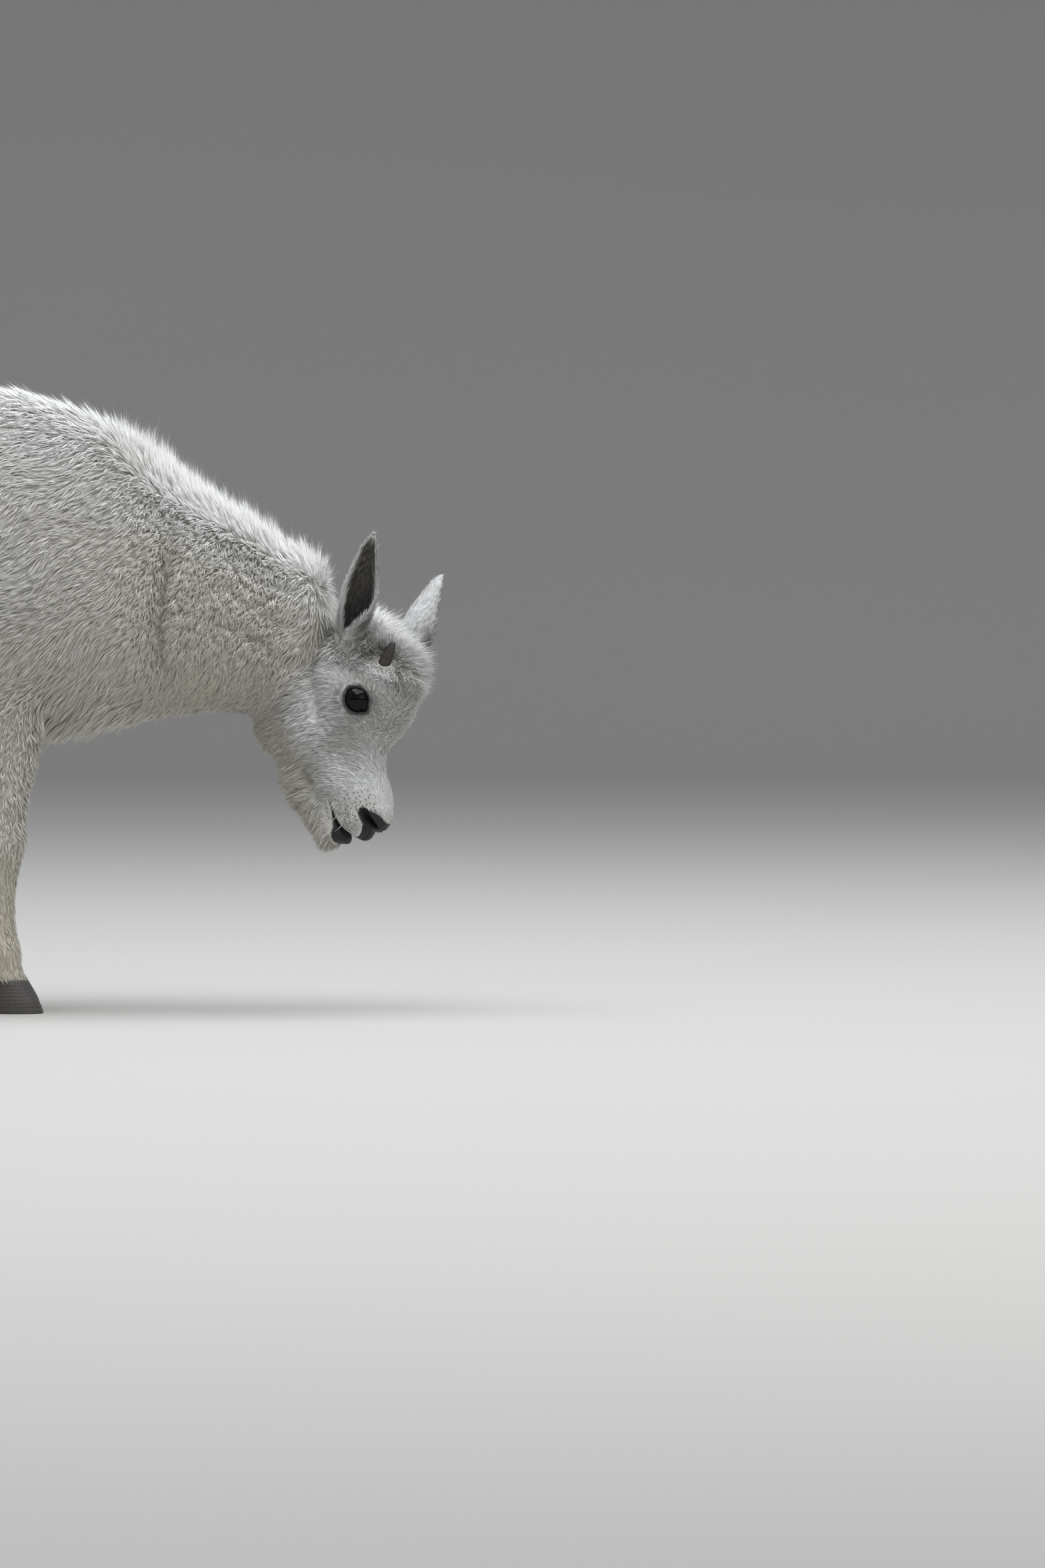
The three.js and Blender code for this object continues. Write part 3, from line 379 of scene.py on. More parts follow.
def net_surface(low, high, step):
    """Corner points and four-sided faces of the skin, from a grid of its values."""
    counts = np.ceil((np.asarray(high, float) - low) / step).astype(int)
    axes = [low[a] + step * np.arange(counts[a]) for a in range(3)]
    grid = np.stack(np.meshgrid(*axes, indexing="ij"), axis=-1)
    value = np.concatenate([skin_value(part) for part in np.array_split(grid.reshape(-1, 3), 12)])
    inside = value.reshape(counts) < 0
    corners = [inside[i:counts[0] - 1 + i, j:counts[1] - 1 + j, k:counts[2] - 1 + k]
               for i in (0, 1) for j in (0, 1) for k in (0, 1)]
    full = np.sum(corners, axis=0)
    mixed = (full > 0) & (full < 8)
    index = np.full(mixed.shape, -1)
    index[mixed] = np.arange(mixed.sum())
    quads = []
    for axis in range(3):
        a, b = (axis + 1) % 3, (axis + 2) % 3
        near = [slice(None)] * 3
        far = [slice(None)] * 3
        near[axis], far[axis] = slice(0, -1), slice(1, None)
        leaving = inside[tuple(near)]
        where = np.argwhere(leaving != inside[tuple(far)])
        where = where[(where[:, a] > 0) & (where[:, b] > 0)]
        ring = []
        for back_a, back_b in ((1, 1), (0, 1), (0, 0), (1, 0)):
            cell = where.copy()
            cell[:, a] -= back_a
            cell[:, b] -= back_b
            ring.append(index[tuple(cell.T)])
        quad = np.stack(ring, axis=1)
        flip = ~leaving[tuple(where.T)]
        quad[flip] = quad[flip][:, ::-1]
        quads.append(quad)
    quads = np.concatenate(quads)
    return grid[:-1, :-1, :-1][mixed] + step / 2, quads[(quads >= 0).all(axis=1)]


# Meshes

def place_in_scene(name, data):
    obj = bpy.data.objects.new(name, data)
    bpy.context.scene.collection.objects.link(obj)
    return obj


def plain_mesh(name, points, faces, material):
    mesh = bpy.data.meshes.new(name)
    mesh.from_pydata(np.asarray(points).tolist(), [], [list(map(int, face)) for face in faces])
    mesh.update()
    mesh.polygons.foreach_set("use_smooth", np.ones(len(mesh.polygons), bool))
    mesh.materials.append(material)
    return place_in_scene(name, mesh)


def mesh_object(name, points, faces, material):
    """A mesh object at the origin, from points in the animal's millimetres."""
    return plain_mesh(name, to_frame(points), faces, material)


def finish_piece(obj, slot_name, *nodes):
    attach(obj, "root")
    if nodes:
        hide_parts(*nodes)


def read(layer, key, width=1, kind=float):
    """One property of every item of a mesh's layer, in rows of the given width."""
    values = np.empty(len(layer) * width, dtype=kind)
    layer.foreach_get(key, values)
    return values.reshape(-1, width) if width > 1 else values


def store(mesh, name, values):
    """Keeps a number or a vector for each vertex."""
    values = np.asarray(values, float)
    kind, key = ("FLOAT", "value") if values.ndim == 1 else ("FLOAT_VECTOR", "vector")
    mesh.attributes.new(name, kind, "POINT").data.foreach_set(key, values.ravel())


def set_tint(mesh, colours):
    """Stores a colour for each vertex, in linear light."""
    rgba = np.ones((len(colours), 4))
    rgba[:, :3] = colours
    mesh.color_attributes.new("coat_tint", "FLOAT_COLOR", "POINT").data.foreach_set("color", rgba.ravel())


def ring_grid(rings, around):
    """The ring number and the angle of each point of a form made of rings."""
    i, j = np.divmod(np.arange(rings * around), around)
    return i, 2 * np.pi * j / around


def circle(angle, a, b):
    return np.outer(np.cos(angle), a) + np.outer(np.sin(angle), b)


def join_forms(forms, offset=0):
    """Points and faces of closed forms, each given as its points and how many make a ring."""
    faces = []
    for points, around in forms:
        last = len(points) - around
        ring = np.arange(around)
        for start in range(0, last, around):
            a, b = ring + start, (ring + 1) % around + start
            faces += (np.stack([a, b, b + around, a + around], axis=1) + offset).tolist()
        faces += [(ring[::-1] + offset).tolist(), (ring + last + offset).tolist()]
        offset += len(points)
    return np.concatenate([points for points, _ in forms]), faces


def face_outwards(obj, chosen=None):
    """Turns the faces of a closed mesh, or those on its chosen points, to point out of it."""
    shape = bmesh.new()
    shape.from_mesh(obj.data)
    faces = [f for f in shape.faces if chosen is None or chosen[f.verts[0].index]]
    bmesh.ops.recalc_face_normals(shape, faces=faces)
    shape.to_mesh(obj.data)
    shape.free()


# Colours of skin and coat, the same for both

WHITE = linear("#f5f3ee")
CREAM = linear("#e4dccc")
LEG_CREAM = linear("#ddd3bb")
FACE_WHITE = linear("#e2e0dc")
GREY = linear("#8f8d8b")
EAR_DARK = linear("#3b3836")
BROW_BROWN = linear("#9c8f7d")
# painted shade for the folds of skin between neck and shoulder and behind the cheek
CREASE_SHADE = linear("#94897a")
BARE_BLACK = linear("#151314")
LID_GREY = linear("#4d4a49")
SKIN_SHADE = 0.78  # painted shade: the skin below the hair is this much darker than the hair, as the coat shades it


def above_mouth(h):
    """Height over the line between the lips, in the head's axes."""
    return h[:, 2] - np.interp(h[:, 0], MOUTH[:, 0], MOUTH[:, 1])


def eye_axes(side):
    centre = head_to_body(EYE_CENTRE * [1, side, 1])
    look = unit(unit(EYE_LOOK * [1, side, 1]) @ HEAD_AXES)
    up = np.array([-math.sin(EYE_TILT), 0, math.cos(EYE_TILT)]) @ HEAD_AXES
    up = unit(up - look * (up @ look))
    aside = np.cross(up, look) * side  # towards the back of the head on both sides
    return centre, look, up, aside


def lid_edge(phi):
    long, high = EYE_OPENING
    return 1 / np.hypot(np.cos(phi) / long, np.sin(phi) / high)


def eye_polar(p, side):
    """Arc from the eye's axis, distance from its centre, arc past the lids' edge, and angle."""
    centre, look, up, aside = eye_axes(side)
    to = p - centre
    distance = lengths(to)
    direction = to / np.maximum(distance[:, None], 1e-9)
    arc = EYE_RADIUS * np.arccos(np.clip(direction @ look, -1, 1))
    phi = np.arctan2(direction @ up, direction @ aside)
    corners = 0.17 * hill(np.abs(phi), np.pi, 0.3) + 0.1 * hill(phi, 0, 0.3)
    return arc, distance, arc - lid_edge(phi) * (1 + corners), phi


def near_eye(p, reach):
    near = np.zeros(len(p), bool)
    for side in SIDES:
        arc, distance, _, _ = eye_polar(p, side)
        near |= (arc < reach) & (distance < reach + 5)
    return near


def lid_width(phi):
    """The bare skin of the lids is widest below and behind the eye."""
    return 1 + 1.9 * hill(phi, -0.8, 0.9)


LID_REACH = 30  # the markings of the lids end within this arc


def black_skin(h):
    """1 on the bare black skin of the nose and the front of the lower lip, 0 on hair."""
    aside = np.abs(h[:, 1])
    upper, lower = (np.interp(aside, NOSE[:, 0], NOSE[:, k]) for k in (1, 2))
    inside = np.minimum(upper - h[:, 2], h[:, 2] - lower)
    nose = ramp(np.minimum(inside, 18.6 - aside), -0.7, 0.7) * ramp(h[:, 0], 76.5, 78.5)
    under = -above_mouth(h)
    depth = np.interp(h[:, 0], (70, 75, 82, 88, 91), (0.6, 1.6, 4.0, 11.0, 15.5))
    lip = ramp(under, -1.2, 0.6) * (1 - ramp(under - depth, -1.2, 1.2)) * ramp(h[:, 0], 63, 67)
    return np.maximum(nose, lip)


def bareness(p, h):
    """1 where no hair grows: nose leather, lips, lids and the eye's opening."""
    lips = (1 - ramp(np.abs(above_mouth(h)), 1.4, 2.6)) * ramp(h[:, 0], 62, 67)
    bare = np.maximum(black_skin(h), lips)
    for side in SIDES:
        arc, _, past, phi = eye_polar(p, side)
        bare = np.maximum(bare, (1 - ramp(past / lid_width(phi), 0.9, 2.1)) * (arc < LID_REACH))
    return bare


def ear_gap(h):
    """Distance from the nearer ear's root, in the head's axes."""
    roots = [np.array(ear["root"], float) + 6 * (unit(ear["along"]) @ HEAD_AXES.T) for ear in EARS.values()]
    return np.min([lengths(h - root) - 11 for root in roots], axis=0)


def horn_line(side):
    return [np.array(HORN_BUD[end], float) * [1, side, 1] for end in ("root", "tip")]


def horn_gap(h, wider=0.0, sides=SIDES):
    """Distance from the nearer horn bud, in the head's axes."""
    radii = (HORN_BUD["radius"] + wider,) * 2
    return np.min([cone_distance(h, *horn_line(side), radii) for side in sides], axis=0)


def coat_colours(place):
    p, h, x, z = place.p, place.h, place.x, place.z
    ahead, aside, up = place.ahead, place.aside, place.up
    head, crown, rise = place.on_head, place.crown, place.rise
    wool = place.on_neck * ramp(-rise, -0.56, -0.2) * (1 - ramp(x, 200, 232))
    low_side = ramp(np.abs(aside), 30, 38) * (1 - crown)
    jaw = head * ramp(-up, 24, 50)
    colour = np.tile(WHITE, (len(p), 1))
    for tone, share in (
        (CREAM, 0.4 * ramp(-rise, -0.75, -0.2) * place.body),
        (CREAM, 0.7 * wool),
        (LEG_CREAM, place.on_leg * (0.45 + 0.4 * ramp(-z, -150, -60))),
        (LEG_CREAM, 0.22 * (0.5 + 0.5 * waves(p, 55, 3)) * (1 - place.crest)),
        (FACE_WHITE, head),
        (WHITE, crown),
        (CREAM, 0.3 * crown),
        # painted shade round the ears' roots, low on the sides of the head
        (GREY, 0.6 * head * low_side * (1 - ramp(ear_gap(h), 1, 10))),
        # painted shade in the folds between neck and shoulder and behind the cheek, darkest where they are
        # deepest
        (CREASE_SHADE, 0.5 * place.crease() / CREASE_DEPTH),
        (LID_GREY, 0.5 * (1 - ramp(horn_gap(h), 0.3, 2.2))),
        (LEG_CREAM, 0.6 * jaw),
    ):
        colour = mix(colour, tone, share)
    # painted shade: darker under the neck and on the jaw, which face down
    colour = colour * (1 - 0.12 * ramp(-rise, 0.5, 0.9) * place.on_neck - 0.08 * jaw)[:, None]
    # the hair is greyer round the eyes, painted shade darkens the hollow before each eye, the lids are dark,
    # the brow is brown
    for side in SIDES:
        arc, _, past, phi = eye_polar(p, side)
        close = arc < LID_REACH
        before = hill(ahead, 18, 13) * hill(up, 2, 9) * (np.sign(aside) == side)
        for tone, share in (
            (GREY, 0.4 * (1 - ramp(past, 1.5, 7)) * (arc < 40)),
            # painted shade in the hollow before the eye
            (GREY, 0.3 * before * head),
            (BROW_BROWN, 0.4 * hill(past, 4.5, 3.0) * ramp(np.sin(phi), 0.1, 0.7) * close),
            (LID_GREY, 0.85 * (1 - ramp(past / lid_width(phi), 0.9, 2.6)) * close),
            (BARE_BLACK, (1 - ramp(past, 0.0, 0.8)) * close),
        ):
            colour = mix(colour, tone, share)
    # painted shade in the crook between the throat and the front of the neck
    colour = mix(colour, GREY, 0.3 * hill(x, 205, 16) * hill(z, 236, 34) * (place.trunk < 25))
    lips = (1 - ramp(np.abs(above_mouth(h)), 0.9, 1.9)) * ramp(ahead, 63, 67)
    return mix(colour, BARE_BLACK, np.maximum(black_skin(h), lips))


def ear_colours(colours, part, shares):
    """The coat's colours, with those of the ears' backs, folds and dark insides."""
    u, inner, aside = shares.T
    plain = np.ones((len(u), 1))
    back = mix(FACE_WHITE * plain, GREY, 0.25 + 0.4 * (1 - ramp(u, 0.12, 0.45)))
    cup = mix(EAR_DARK * plain, GREY, 0.5 * ramp(aside, 0.5, 0.9))
    cup = mix(cup, WHITE, ramp(aside, 0.86, 0.99) * 0.7)
    cup = mix(cup, WHITE, ramp(u, 0.86, 0.97))
    fold = (0.55 * GREY + 0.45 * EAR_DARK) * plain
    fold = mix(fold, WHITE, ramp(aside, 0.8, 0.98) * 0.5 + 0.5 * (1 - ramp(u, 0.0, 0.16)))
    back = back + (fold - back) * np.clip(inner / FOLD_SHARE, 0, 1)[:, None]
    own = np.where(inner[:, None] > 0.5, cup, back)
    return np.where((part > 0)[:, None], own, colours)


# Skin

def smoothed(points, edges, rounds, share=0.5):
    """Moves each point towards the middle of its neighbours."""
    count = np.bincount(edges.ravel(), minlength=len(points))[:, None]
    for _ in range(rounds):
        total = np.zeros_like(points)
        np.add.at(total, edges[:, 0], points[edges[:, 1]])
        np.add.at(total, edges[:, 1], points[edges[:, 0]])
        points = points + share * (total / np.maximum(count, 1) - points)
    return points


def refine(mesh, chosen):
    """Splits the faces that touch the chosen points into four."""
    shape = bmesh.new()
    shape.from_mesh(mesh)
    shape.verts.ensure_lookup_table()
    edges = [e for e in shape.edges if chosen[e.verts[0].index] and chosen[e.verts[1].index]]
    bmesh.ops.subdivide_edges(shape, edges=edges, cuts=1, use_grid_fill=True)
    shape.to_mesh(mesh)
    shape.free()


def shape_eyes(p):
    """Lays the lids over each eyeball, with an opening between them."""
    for side in SIDES:
        centre = eye_axes(side)[0]
        arc, distance, past, phi = eye_polar(p, side)
        near = (arc < 34) & (distance < 34)
        brow = ramp(phi, 0.2, 1.0) * ramp(-phi, -2.9, -2.2)
        lid = EYE_RADIUS + 1.3 + 0.8 * hill(past, 0.9, 1.1) + (0.5 + 0.9 * brow) * hill(past, 6.0, 1.7)
        crease = 0.9 * hill(past, 3.4, 0.9)
        reach = ramp(past, 2.0, 10.5)
        over = (lid - crease) * (1 - reach) + distance * reach
        behind = EYE_RADIUS - 2.2
        target = np.where(past > 0, np.maximum(over, lid * (1 - reach)), behind)
        blend = ramp(past, -0.7, 0.1)
        target = behind * (1 - blend) + target * blend
        direction = (p - centre) / np.maximum(distance[:, None], 1e-9)
        p = np.where(near[:, None], centre + direction * target[:, None], p)
    return p


def shape_muzzle(p):
    """Cuts the mouth line, the nostrils and the groove under the nose."""
    h = body_to_head(p)
    side = np.sign(h[:, 1])
    line = above_mouth(h)
    front = ramp(h[:, 0], 62, 68)
    zero = np.zeros(len(h))
    inward = np.stack([zero - 0.75, -0.6 * side * ramp(np.abs(h[:, 1]), 1, 8), zero], axis=1)
    groove = 3.4 * hill(line, 0, 1) - 0.7 * hill(line, 3.0, 1.6) - 0.5 * hill(line, -3.2, 1.8)
    h = h + inward * (groove * front)[:, None]
    # each nostril is a comma, widest at its outer end
    across = h[:, 1] * side - NOSTRIL[0]
    tall = h[:, 2] - NOSTRIL[1] + 0.3 * across
    wide = 2.1 + 0.16 * np.clip(across, -6, 5)
    hole = np.exp(-((across / 5.8) ** 2 + (tall / wide) ** 2) ** 1.6)
    rim = hill(np.hypot(across / 5.8, tall / wide), 1.45, 0.35)
    into = np.stack([zero - 0.85, -0.65 * side, zero], axis=1)
    h = h + into * ((7.0 * hole - 0.6 * rim) * ramp(h[:, 0], 74, 78))[:, None]
    # the lower lip is full and rounded at the front
    full = hill(line, -5.5, 6.5) * ramp(-line, -0.5, 1.5) * ramp(h[:, 0], 70, 84)
    h[:, 0] += 5.5 * full
    h[:, 2] += 1.8 * full
    # the nose overhangs the upper lip, with a notch between them
    notch = -4.2 * hill(h[:, 2], -8, 2.8) + 2.6 * hill(h[:, 2], -16.5, 4.5)
    h[:, 0] += notch * ramp(h[:, 0], 76, 86) * (1 - ramp(np.abs(h[:, 1]), 9, 15))
    philtrum = hill(h[:, 1], 0, 1.1) * ramp(-h[:, 2], 3, 9) * (1 - ramp(-h[:, 2], 21, 25))
    h[:, 0] -= 1.3 * philtrum * ramp(h[:, 0], 78, 84)
    return head_to_body(h)


EAR_RINGS = 34
EAR_ARC = 19  # points on one face of a ring


def ear_points(ear):
    """Rings round a cup that is nearly closed at its root and opens towards its tip, and for
    each point the way up the ear, whether it is inside the cup, and how near the rim."""
    axis = unit(ear["along"])
    cup = np.array(ear["cup"], float)
    face = unit(cup - axis * (cup @ axis))
    forward = np.cross(axis, face)
    forward = forward * np.sign(forward[0])
    root = head_to_body(ear["root"])
    points, shares = [], []
    for u in np.arange(EAR_RINGS) / (EAR_RINGS - 1):
        bulge = math.sin(math.pi * u**0.72) * 0.34 + 0.66
        taper = (1 - u) ** 0.36 * (1 - 0.06 * u) + 0.05
        half_width = EAR_HALF_WIDTH * bulge * min(1, taper * 1.25) - 0.7
        spread = 2.5 + (1.0 - 2.5) * u**0.7
        radius = half_width if spread > math.pi / 2 else half_width / math.sin(spread)
        middle = root + axis * (EAR_LENGTH - 2) * u + face * radius * 0.5
        # low on the ear the front rim wraps over the cup towards the back rim
        wrap = 1.35 * (1 - ramp(u, 0.08, 0.52))
        step = np.arange(EAR_ARC) / (EAR_ARC - 1)
        angles = -spread + (2 * spread + wrap) * step
        outer = radius - 0.5 + 0.16 * radius * wrap * ramp(step, 0.6, 1.0)
        inner = np.maximum(outer - 1.6 * (1 - 0.4 * u), radius * 0.3)
        fold = FOLD_SHARE * ramp(step, 0.6, 0.8) * (1 - ramp(u, 0.2, 0.42))
        for way, reach, inside in ((1, outer, fold), (-1, inner, np.ones(EAR_ARC))):
            ring = middle + circle(angles, -face, forward) * reach[:, None]
            points.append(ring[::way])
            shares.append(np.stack([u + 0 * step, inside, abs(2 * step - 1)], axis=1)[::way])
    return np.concatenate(points), np.concatenate(shares)


def skin_points(skin):
    """The skin's points in the animal's millimetres, and its normals."""
    points = read(skin.data.vertices, "co", 3) / MM - [ORIGIN_X, 0, 0]
    return points, read(skin.data.vertices, "normal", 3)


def unwrap(obj):
    """Lays the skin out flat in pieces that don't overlap."""
    obj.data.uv_layers.new(name="OFBake")
    bpy.context.view_layer.objects.active = obj
    obj.select_set(True)
    bpy.ops.object.mode_set(mode="EDIT")
    bpy.ops.mesh.select_all(action="SELECT")
    bpy.ops.uv.smart_project(angle_limit=math.radians(66), island_margin=0.001)
    bpy.ops.object.mode_set(mode="OBJECT")
    obj.select_set(False)


def build_skin(material, step):
    """One closed skin over trunk, legs, head and tail, with the ears' cups joined to it."""
    points, quads = net_surface([-450, -108, 16], [372, 108, 486], step)
    obj = mesh_object("skin", points, quads, material)
    mesh = obj.data
    edges = read(mesh.edges, "vertices", 2, np.int64)
    points = onto_skin(smoothed(points, edges, 2), 4)
    points = onto_skin(smoothed(points, edges, 1, 0.35), 2)
    mesh.vertices.foreach_set("co", to_frame(points).ravel())
    # the head's faces are split, then those of the face, then those of the muzzle and lids
    for choose in (
        lambda p, h: (h[:, 0] > -50) & (Place(p).on_head > 0.4),
        lambda p, h: (h[:, 0] > -24) & (lengths(h - [30, 0, -10]) < 75),
        lambda p, h: (h[:, 0] > 62) | near_eye(p, 24),
    ):
        points = skin_points(obj)[0]
        refine(mesh, choose(points, body_to_head(points)))
        points = skin_points(obj)[0]
        near = from_head_middle(body_to_head(points)) < 130
        points[near] = onto_skin(points[near], 2, 1.5)
        mesh.vertices.foreach_set("co", to_frame(points).ravel())
    points = shape_muzzle(shape_eyes(skin_points(obj)[0]))
    faces = [tuple(f.vertices) for f in mesh.polygons]
    bpy.data.objects.remove(obj)
    bpy.data.meshes.remove(mesh)
    ears = [ear_points(ear) for ear in EARS.values()]
    shares = np.concatenate([np.zeros((len(points), 3)), *(share for _, share in ears)])
    part = np.repeat([0, 1, 2], [len(points), *(len(ring) for ring, _ in ears)])
    ear_rings, ear_faces = join_forms([(ring, 2 * EAR_ARC) for ring, _ in ears], len(points))
    points = np.concatenate([points, ear_rings])
    obj = mesh_object("skin", points, faces + ear_faces, material)
    face_outwards(obj, part > 0)
    colours = ear_colours(coat_colours(Place(points)), part, shares)
    haired = (part > 0) | (bareness(points, body_to_head(points)) < 0.5)
    # painted shade on the skin where hair covers it
    set_tint(obj.data, colours * np.where(haired, SKIN_SHADE, 1)[:, None])
    store(obj.data, "ear_part", part)
    store(obj.data, "ear_share", shares)
    unwrap(obj)
    return obj


# Coat

# Each zone of the coat: length and width of a tuft in mm, its lift off the skin at root and
# tip in degrees, crinkle, how far tufts gather into locks, thick tufts and fine hairs to the
# square centimetre, how much darker they are at the root as painted shade deep in the coat,
# and the width of a lock in mm.
LENGTH, WIDTH, ROOT_LIFT, TIP_LIFT, CRINKLE, GATHER, THICK, THIN, ROOT_SHADE, LOCK = range(10)
ZONES = {
    "tail": (24, 1.2, 28, 8, 0.05, 0.4, 14, 30, 0.85, 6),
    "chin": (10, 0.8, 36, 24, 0.03, 0.4, 30, 90, 0.7, 3.5),
    "muzzle": (3.2, 0.9, 16, 6, 0.0, 0.1, 0, 210, 0.72, 2),
    "crown": (16, 0.9, 62, 42, 0.04, 0.3, 28, 140, 0.95, 4),
    "ear_base": (13, 0.9, 46, 26, 0.02, 0.4, 34, 90, 0.8, 4),
    "cheek": (15.5, 1.0, 27, 17, 0.03, 0.5, 40, 105, 0.66, 4.5),
    "face": (8, 1.0, 22, 11, 0.02, 0.4, 22, 120, 0.6, 3),
    "lower_leg": (7, 1.0, 34, 12, 0.12, 0.45, 10, 28, 0.75, 4),
    "upper_leg": (9.5, 1.2, 50, 18, 0.2, 0.6, 15, 18, 0.74, 6),
    "neck_crest": (28, 0.9, 74, 64, 0.02, 0.5, 30, 100, 0.98, 4.2),
    "back_crest": (23, 1.15, 38, 22, 0.03, 0.5, 14, 60, 0.97, 5.5),
    "belly": (22, 1.5, 46, 22, 0.05, 0.45, 5, 12, 0.85, 8),
    "neck_wool": (11, 1.1, 54, 24, 0.2, 0.46, 38, 58, 0.87, 4.5),
    "shoulder": (15, 1.05, 42, 20, 0.05, 0.3, 13, 50, 0.94, 5),
    "rump": (22, 1.4, 32, 12, 0.04, 0.35, 7, 17, 0.94, 7),
    "flank": (21, 1.4, 34, 13, 0.05, 0.35, 7, 17, 0.94, 7),
    "ear_back": (7.5, 0.8, 26, 13, 0.0, 0.3, 16, 90, 0.75, 3),
    "ear_cup": (8, 0.7, 26, 14, 0.0, 0.4, 20, 80, 0.8, 3),
}
# The way the hair lies in each zone: in the head's axes for those on the head.
HEAD_LIE = {"chin": (0.5, 0, -0.7), "muzzle": (-0.6, 0, -0.5), "crown": (0.5, 0, 0.0),
            "ear_base": (-0.8, 0, 0.1), "cheek": (0.22, 0, -0.9), "face": (-0.35, 0, 0.0)}
BODY_LIE = {"tail": (-0.2, 0, -1), "lower_leg": (0, 0, -1), "upper_leg": (-0.3, 0, -1),
            "neck_crest": (-0.9, 0, 0.1), "back_crest": (-1, 0, 0), "belly": (-0.9, 0, -0.3),
            "neck_wool": (-0.5, 0, -0.85), "shoulder": (-0.7, 0, -0.7), "rump": (-0.45, 0, -0.9),
            "flank": (-0.9, 0, -0.45)}
COAT_PIECES = {
    "tail_hair": ("tail",), "muzzle_hair": ("muzzle",), "crown_wool": ("crown",),
    "cheek_hair": ("cheek", "chin"), "face_hair": ("face",), "lower_leg_hair": ("lower_leg",),
    "upper_leg_wool": ("upper_leg",), "neck_crest_hair": ("neck_crest",),
    "back_crest_hair": ("back_crest",), "belly_hair": ("belly",), "neck_wool": ("neck_wool",),
    "shoulder_hair": ("shoulder",), "flank_hair": ("flank", "rump"),
    "ear_hair": ("ear_back", "ear_cup", "ear_base"),
}
PIECE_LIMIT = 195000
COAT_SEED = 4
PATCH = 0.0026  # side of a tuft's patch on the skin's map


def zone_shares(place, part, shares):
    """How far each point belongs to each zone of the coat; the shares add up to 1."""
    x, z, rise, ahead, head = place.x, place.z, place.rise, place.ahead, place.on_head
    on_ear = (part > 0).astype(float)
    neck = ramp(x, 70, 125)
    crest_low = 0.72 - 0.1 * neck
    claims = {
        "ear_cup": on_ear * (shares[:, 1] > 0.5),
        "ear_back": on_ear,
        "tail": place.on_tail,
        "chin": head * ramp(ahead, 48, 62) * ramp(-above_mouth(place.h), 6, 12),
        "muzzle": head * ramp(ahead, 50, 76),
        "ear_base": head * (1 - ramp(ear_gap(place.h), 3, 9)),
        "crown": place.crown,
        "cheek": place.cheek,
        "face": head,
        "lower_leg": place.on_leg * ramp(-z, -150, -95),
        "upper_leg": place.on_leg,
        "neck_crest": ramp(rise, crest_low - 0.06, crest_low + 0.2) * neck,
        "back_crest": ramp(rise, crest_low, crest_low + 0.22),
        "belly": ramp(-rise, 0.6, 0.9) * (1 - neck),
        "neck_wool": ramp(x, 84, 122) * (1 - ramp(x, 200, 230)),
        "shoulder": ramp(x, -90, -40),
        "rump": ramp(-x, 300, 350),
        "flank": np.ones(len(x)),
    }
    left = np.ones(len(x))
    for name, claim in claims.items():
        claims[name] = left * np.clip(claim, 0, 1)
        left = left - claims[name]
    return claims


def zone_value(zones, column):
    return sum(zones[name] * ZONES[name][column] for name in zones)


def across_axis(to, axis):
    return unit(to - np.outer(to @ axis, axis))


def lie_directions(place, zones, part):
    """The way the hair lies at each root, before it is laid along the skin."""
    p, h = place.p, place.h
    outwards = np.sign(place.aside)[:, None] * HEAD_AXES[1]
    width = np.abs(place.aside)
    lie = np.zeros((len(p), 3))
    for name, direction in HEAD_LIE.items():
        lie += zones[name][:, None] * (np.array(direction, float) @ HEAD_AXES)
    lie += (zones["face"] * 0.3 * ramp(width, 6, 26))[:, None] * outwards
    lie -= (zones["face"] * 0.9 * ramp(-place.up, -16, 8))[:, None] * HEAD_AXES[2]
    lie += (zones["crown"] * 0.5 * ramp(width, 2, 20))[:, None] * outwards
    for name, direction in BODY_LIE.items():
        lie += zones[name][:, None] * unit(direction)
    crests = zones["neck_crest"] + zones["back_crest"]
    lie[:, 1] += 0.35 * place.side * crests * (1 - ramp(place.rise, 0.8, 1.0))
    # the mane stands up the side of the neck, and parts from the wool at its lower edge
    lie[:, 2] += zones["neck_crest"] * (1.5 * ramp(place.rise, 0.66, 0.82) - 0.5)
    for ear in EARS.values():
        close = zones["ear_base"] * (lengths(h - ear["root"]) < 40)
        lie += close[:, None] * unit(ear["along"]) * 1.2
    # the hair turns away from each eye, and parts round each horn bud
    for side in SIDES:
        centre, look, _, _ = eye_axes(side)
        arc, _, past, _ = eye_polar(p, side)
        share = (1 - ramp(past, 1.5, 9)) * (arc < 32)
        lie += share[:, None] * 1.1 * across_axis(p - centre, look)
    for side in SIDES:
        root, tip = horn_line(side)
        share = 1 - ramp(horn_gap(h, sides=(side,)), 1, 7)
        lie += share[:, None] * 0.5 * (across_axis(h - root, unit(tip - root)) @ HEAD_AXES)
    for number, ear in enumerate(EARS.values(), 1):
        lie = np.where((part == number)[:, None], unit(ear["along"]), lie)
    sway = np.stack([waves(p, size, COAT_SEED + k) for k, size in enumerate((46, 52, 38))], axis=1)
    soft = sum(zones[name] for name in ("neck_wool", "upper_leg", "shoulder", "flank", "crown", "belly"))
    return lie + (0.1 + 0.22 * soft)[:, None] * sway


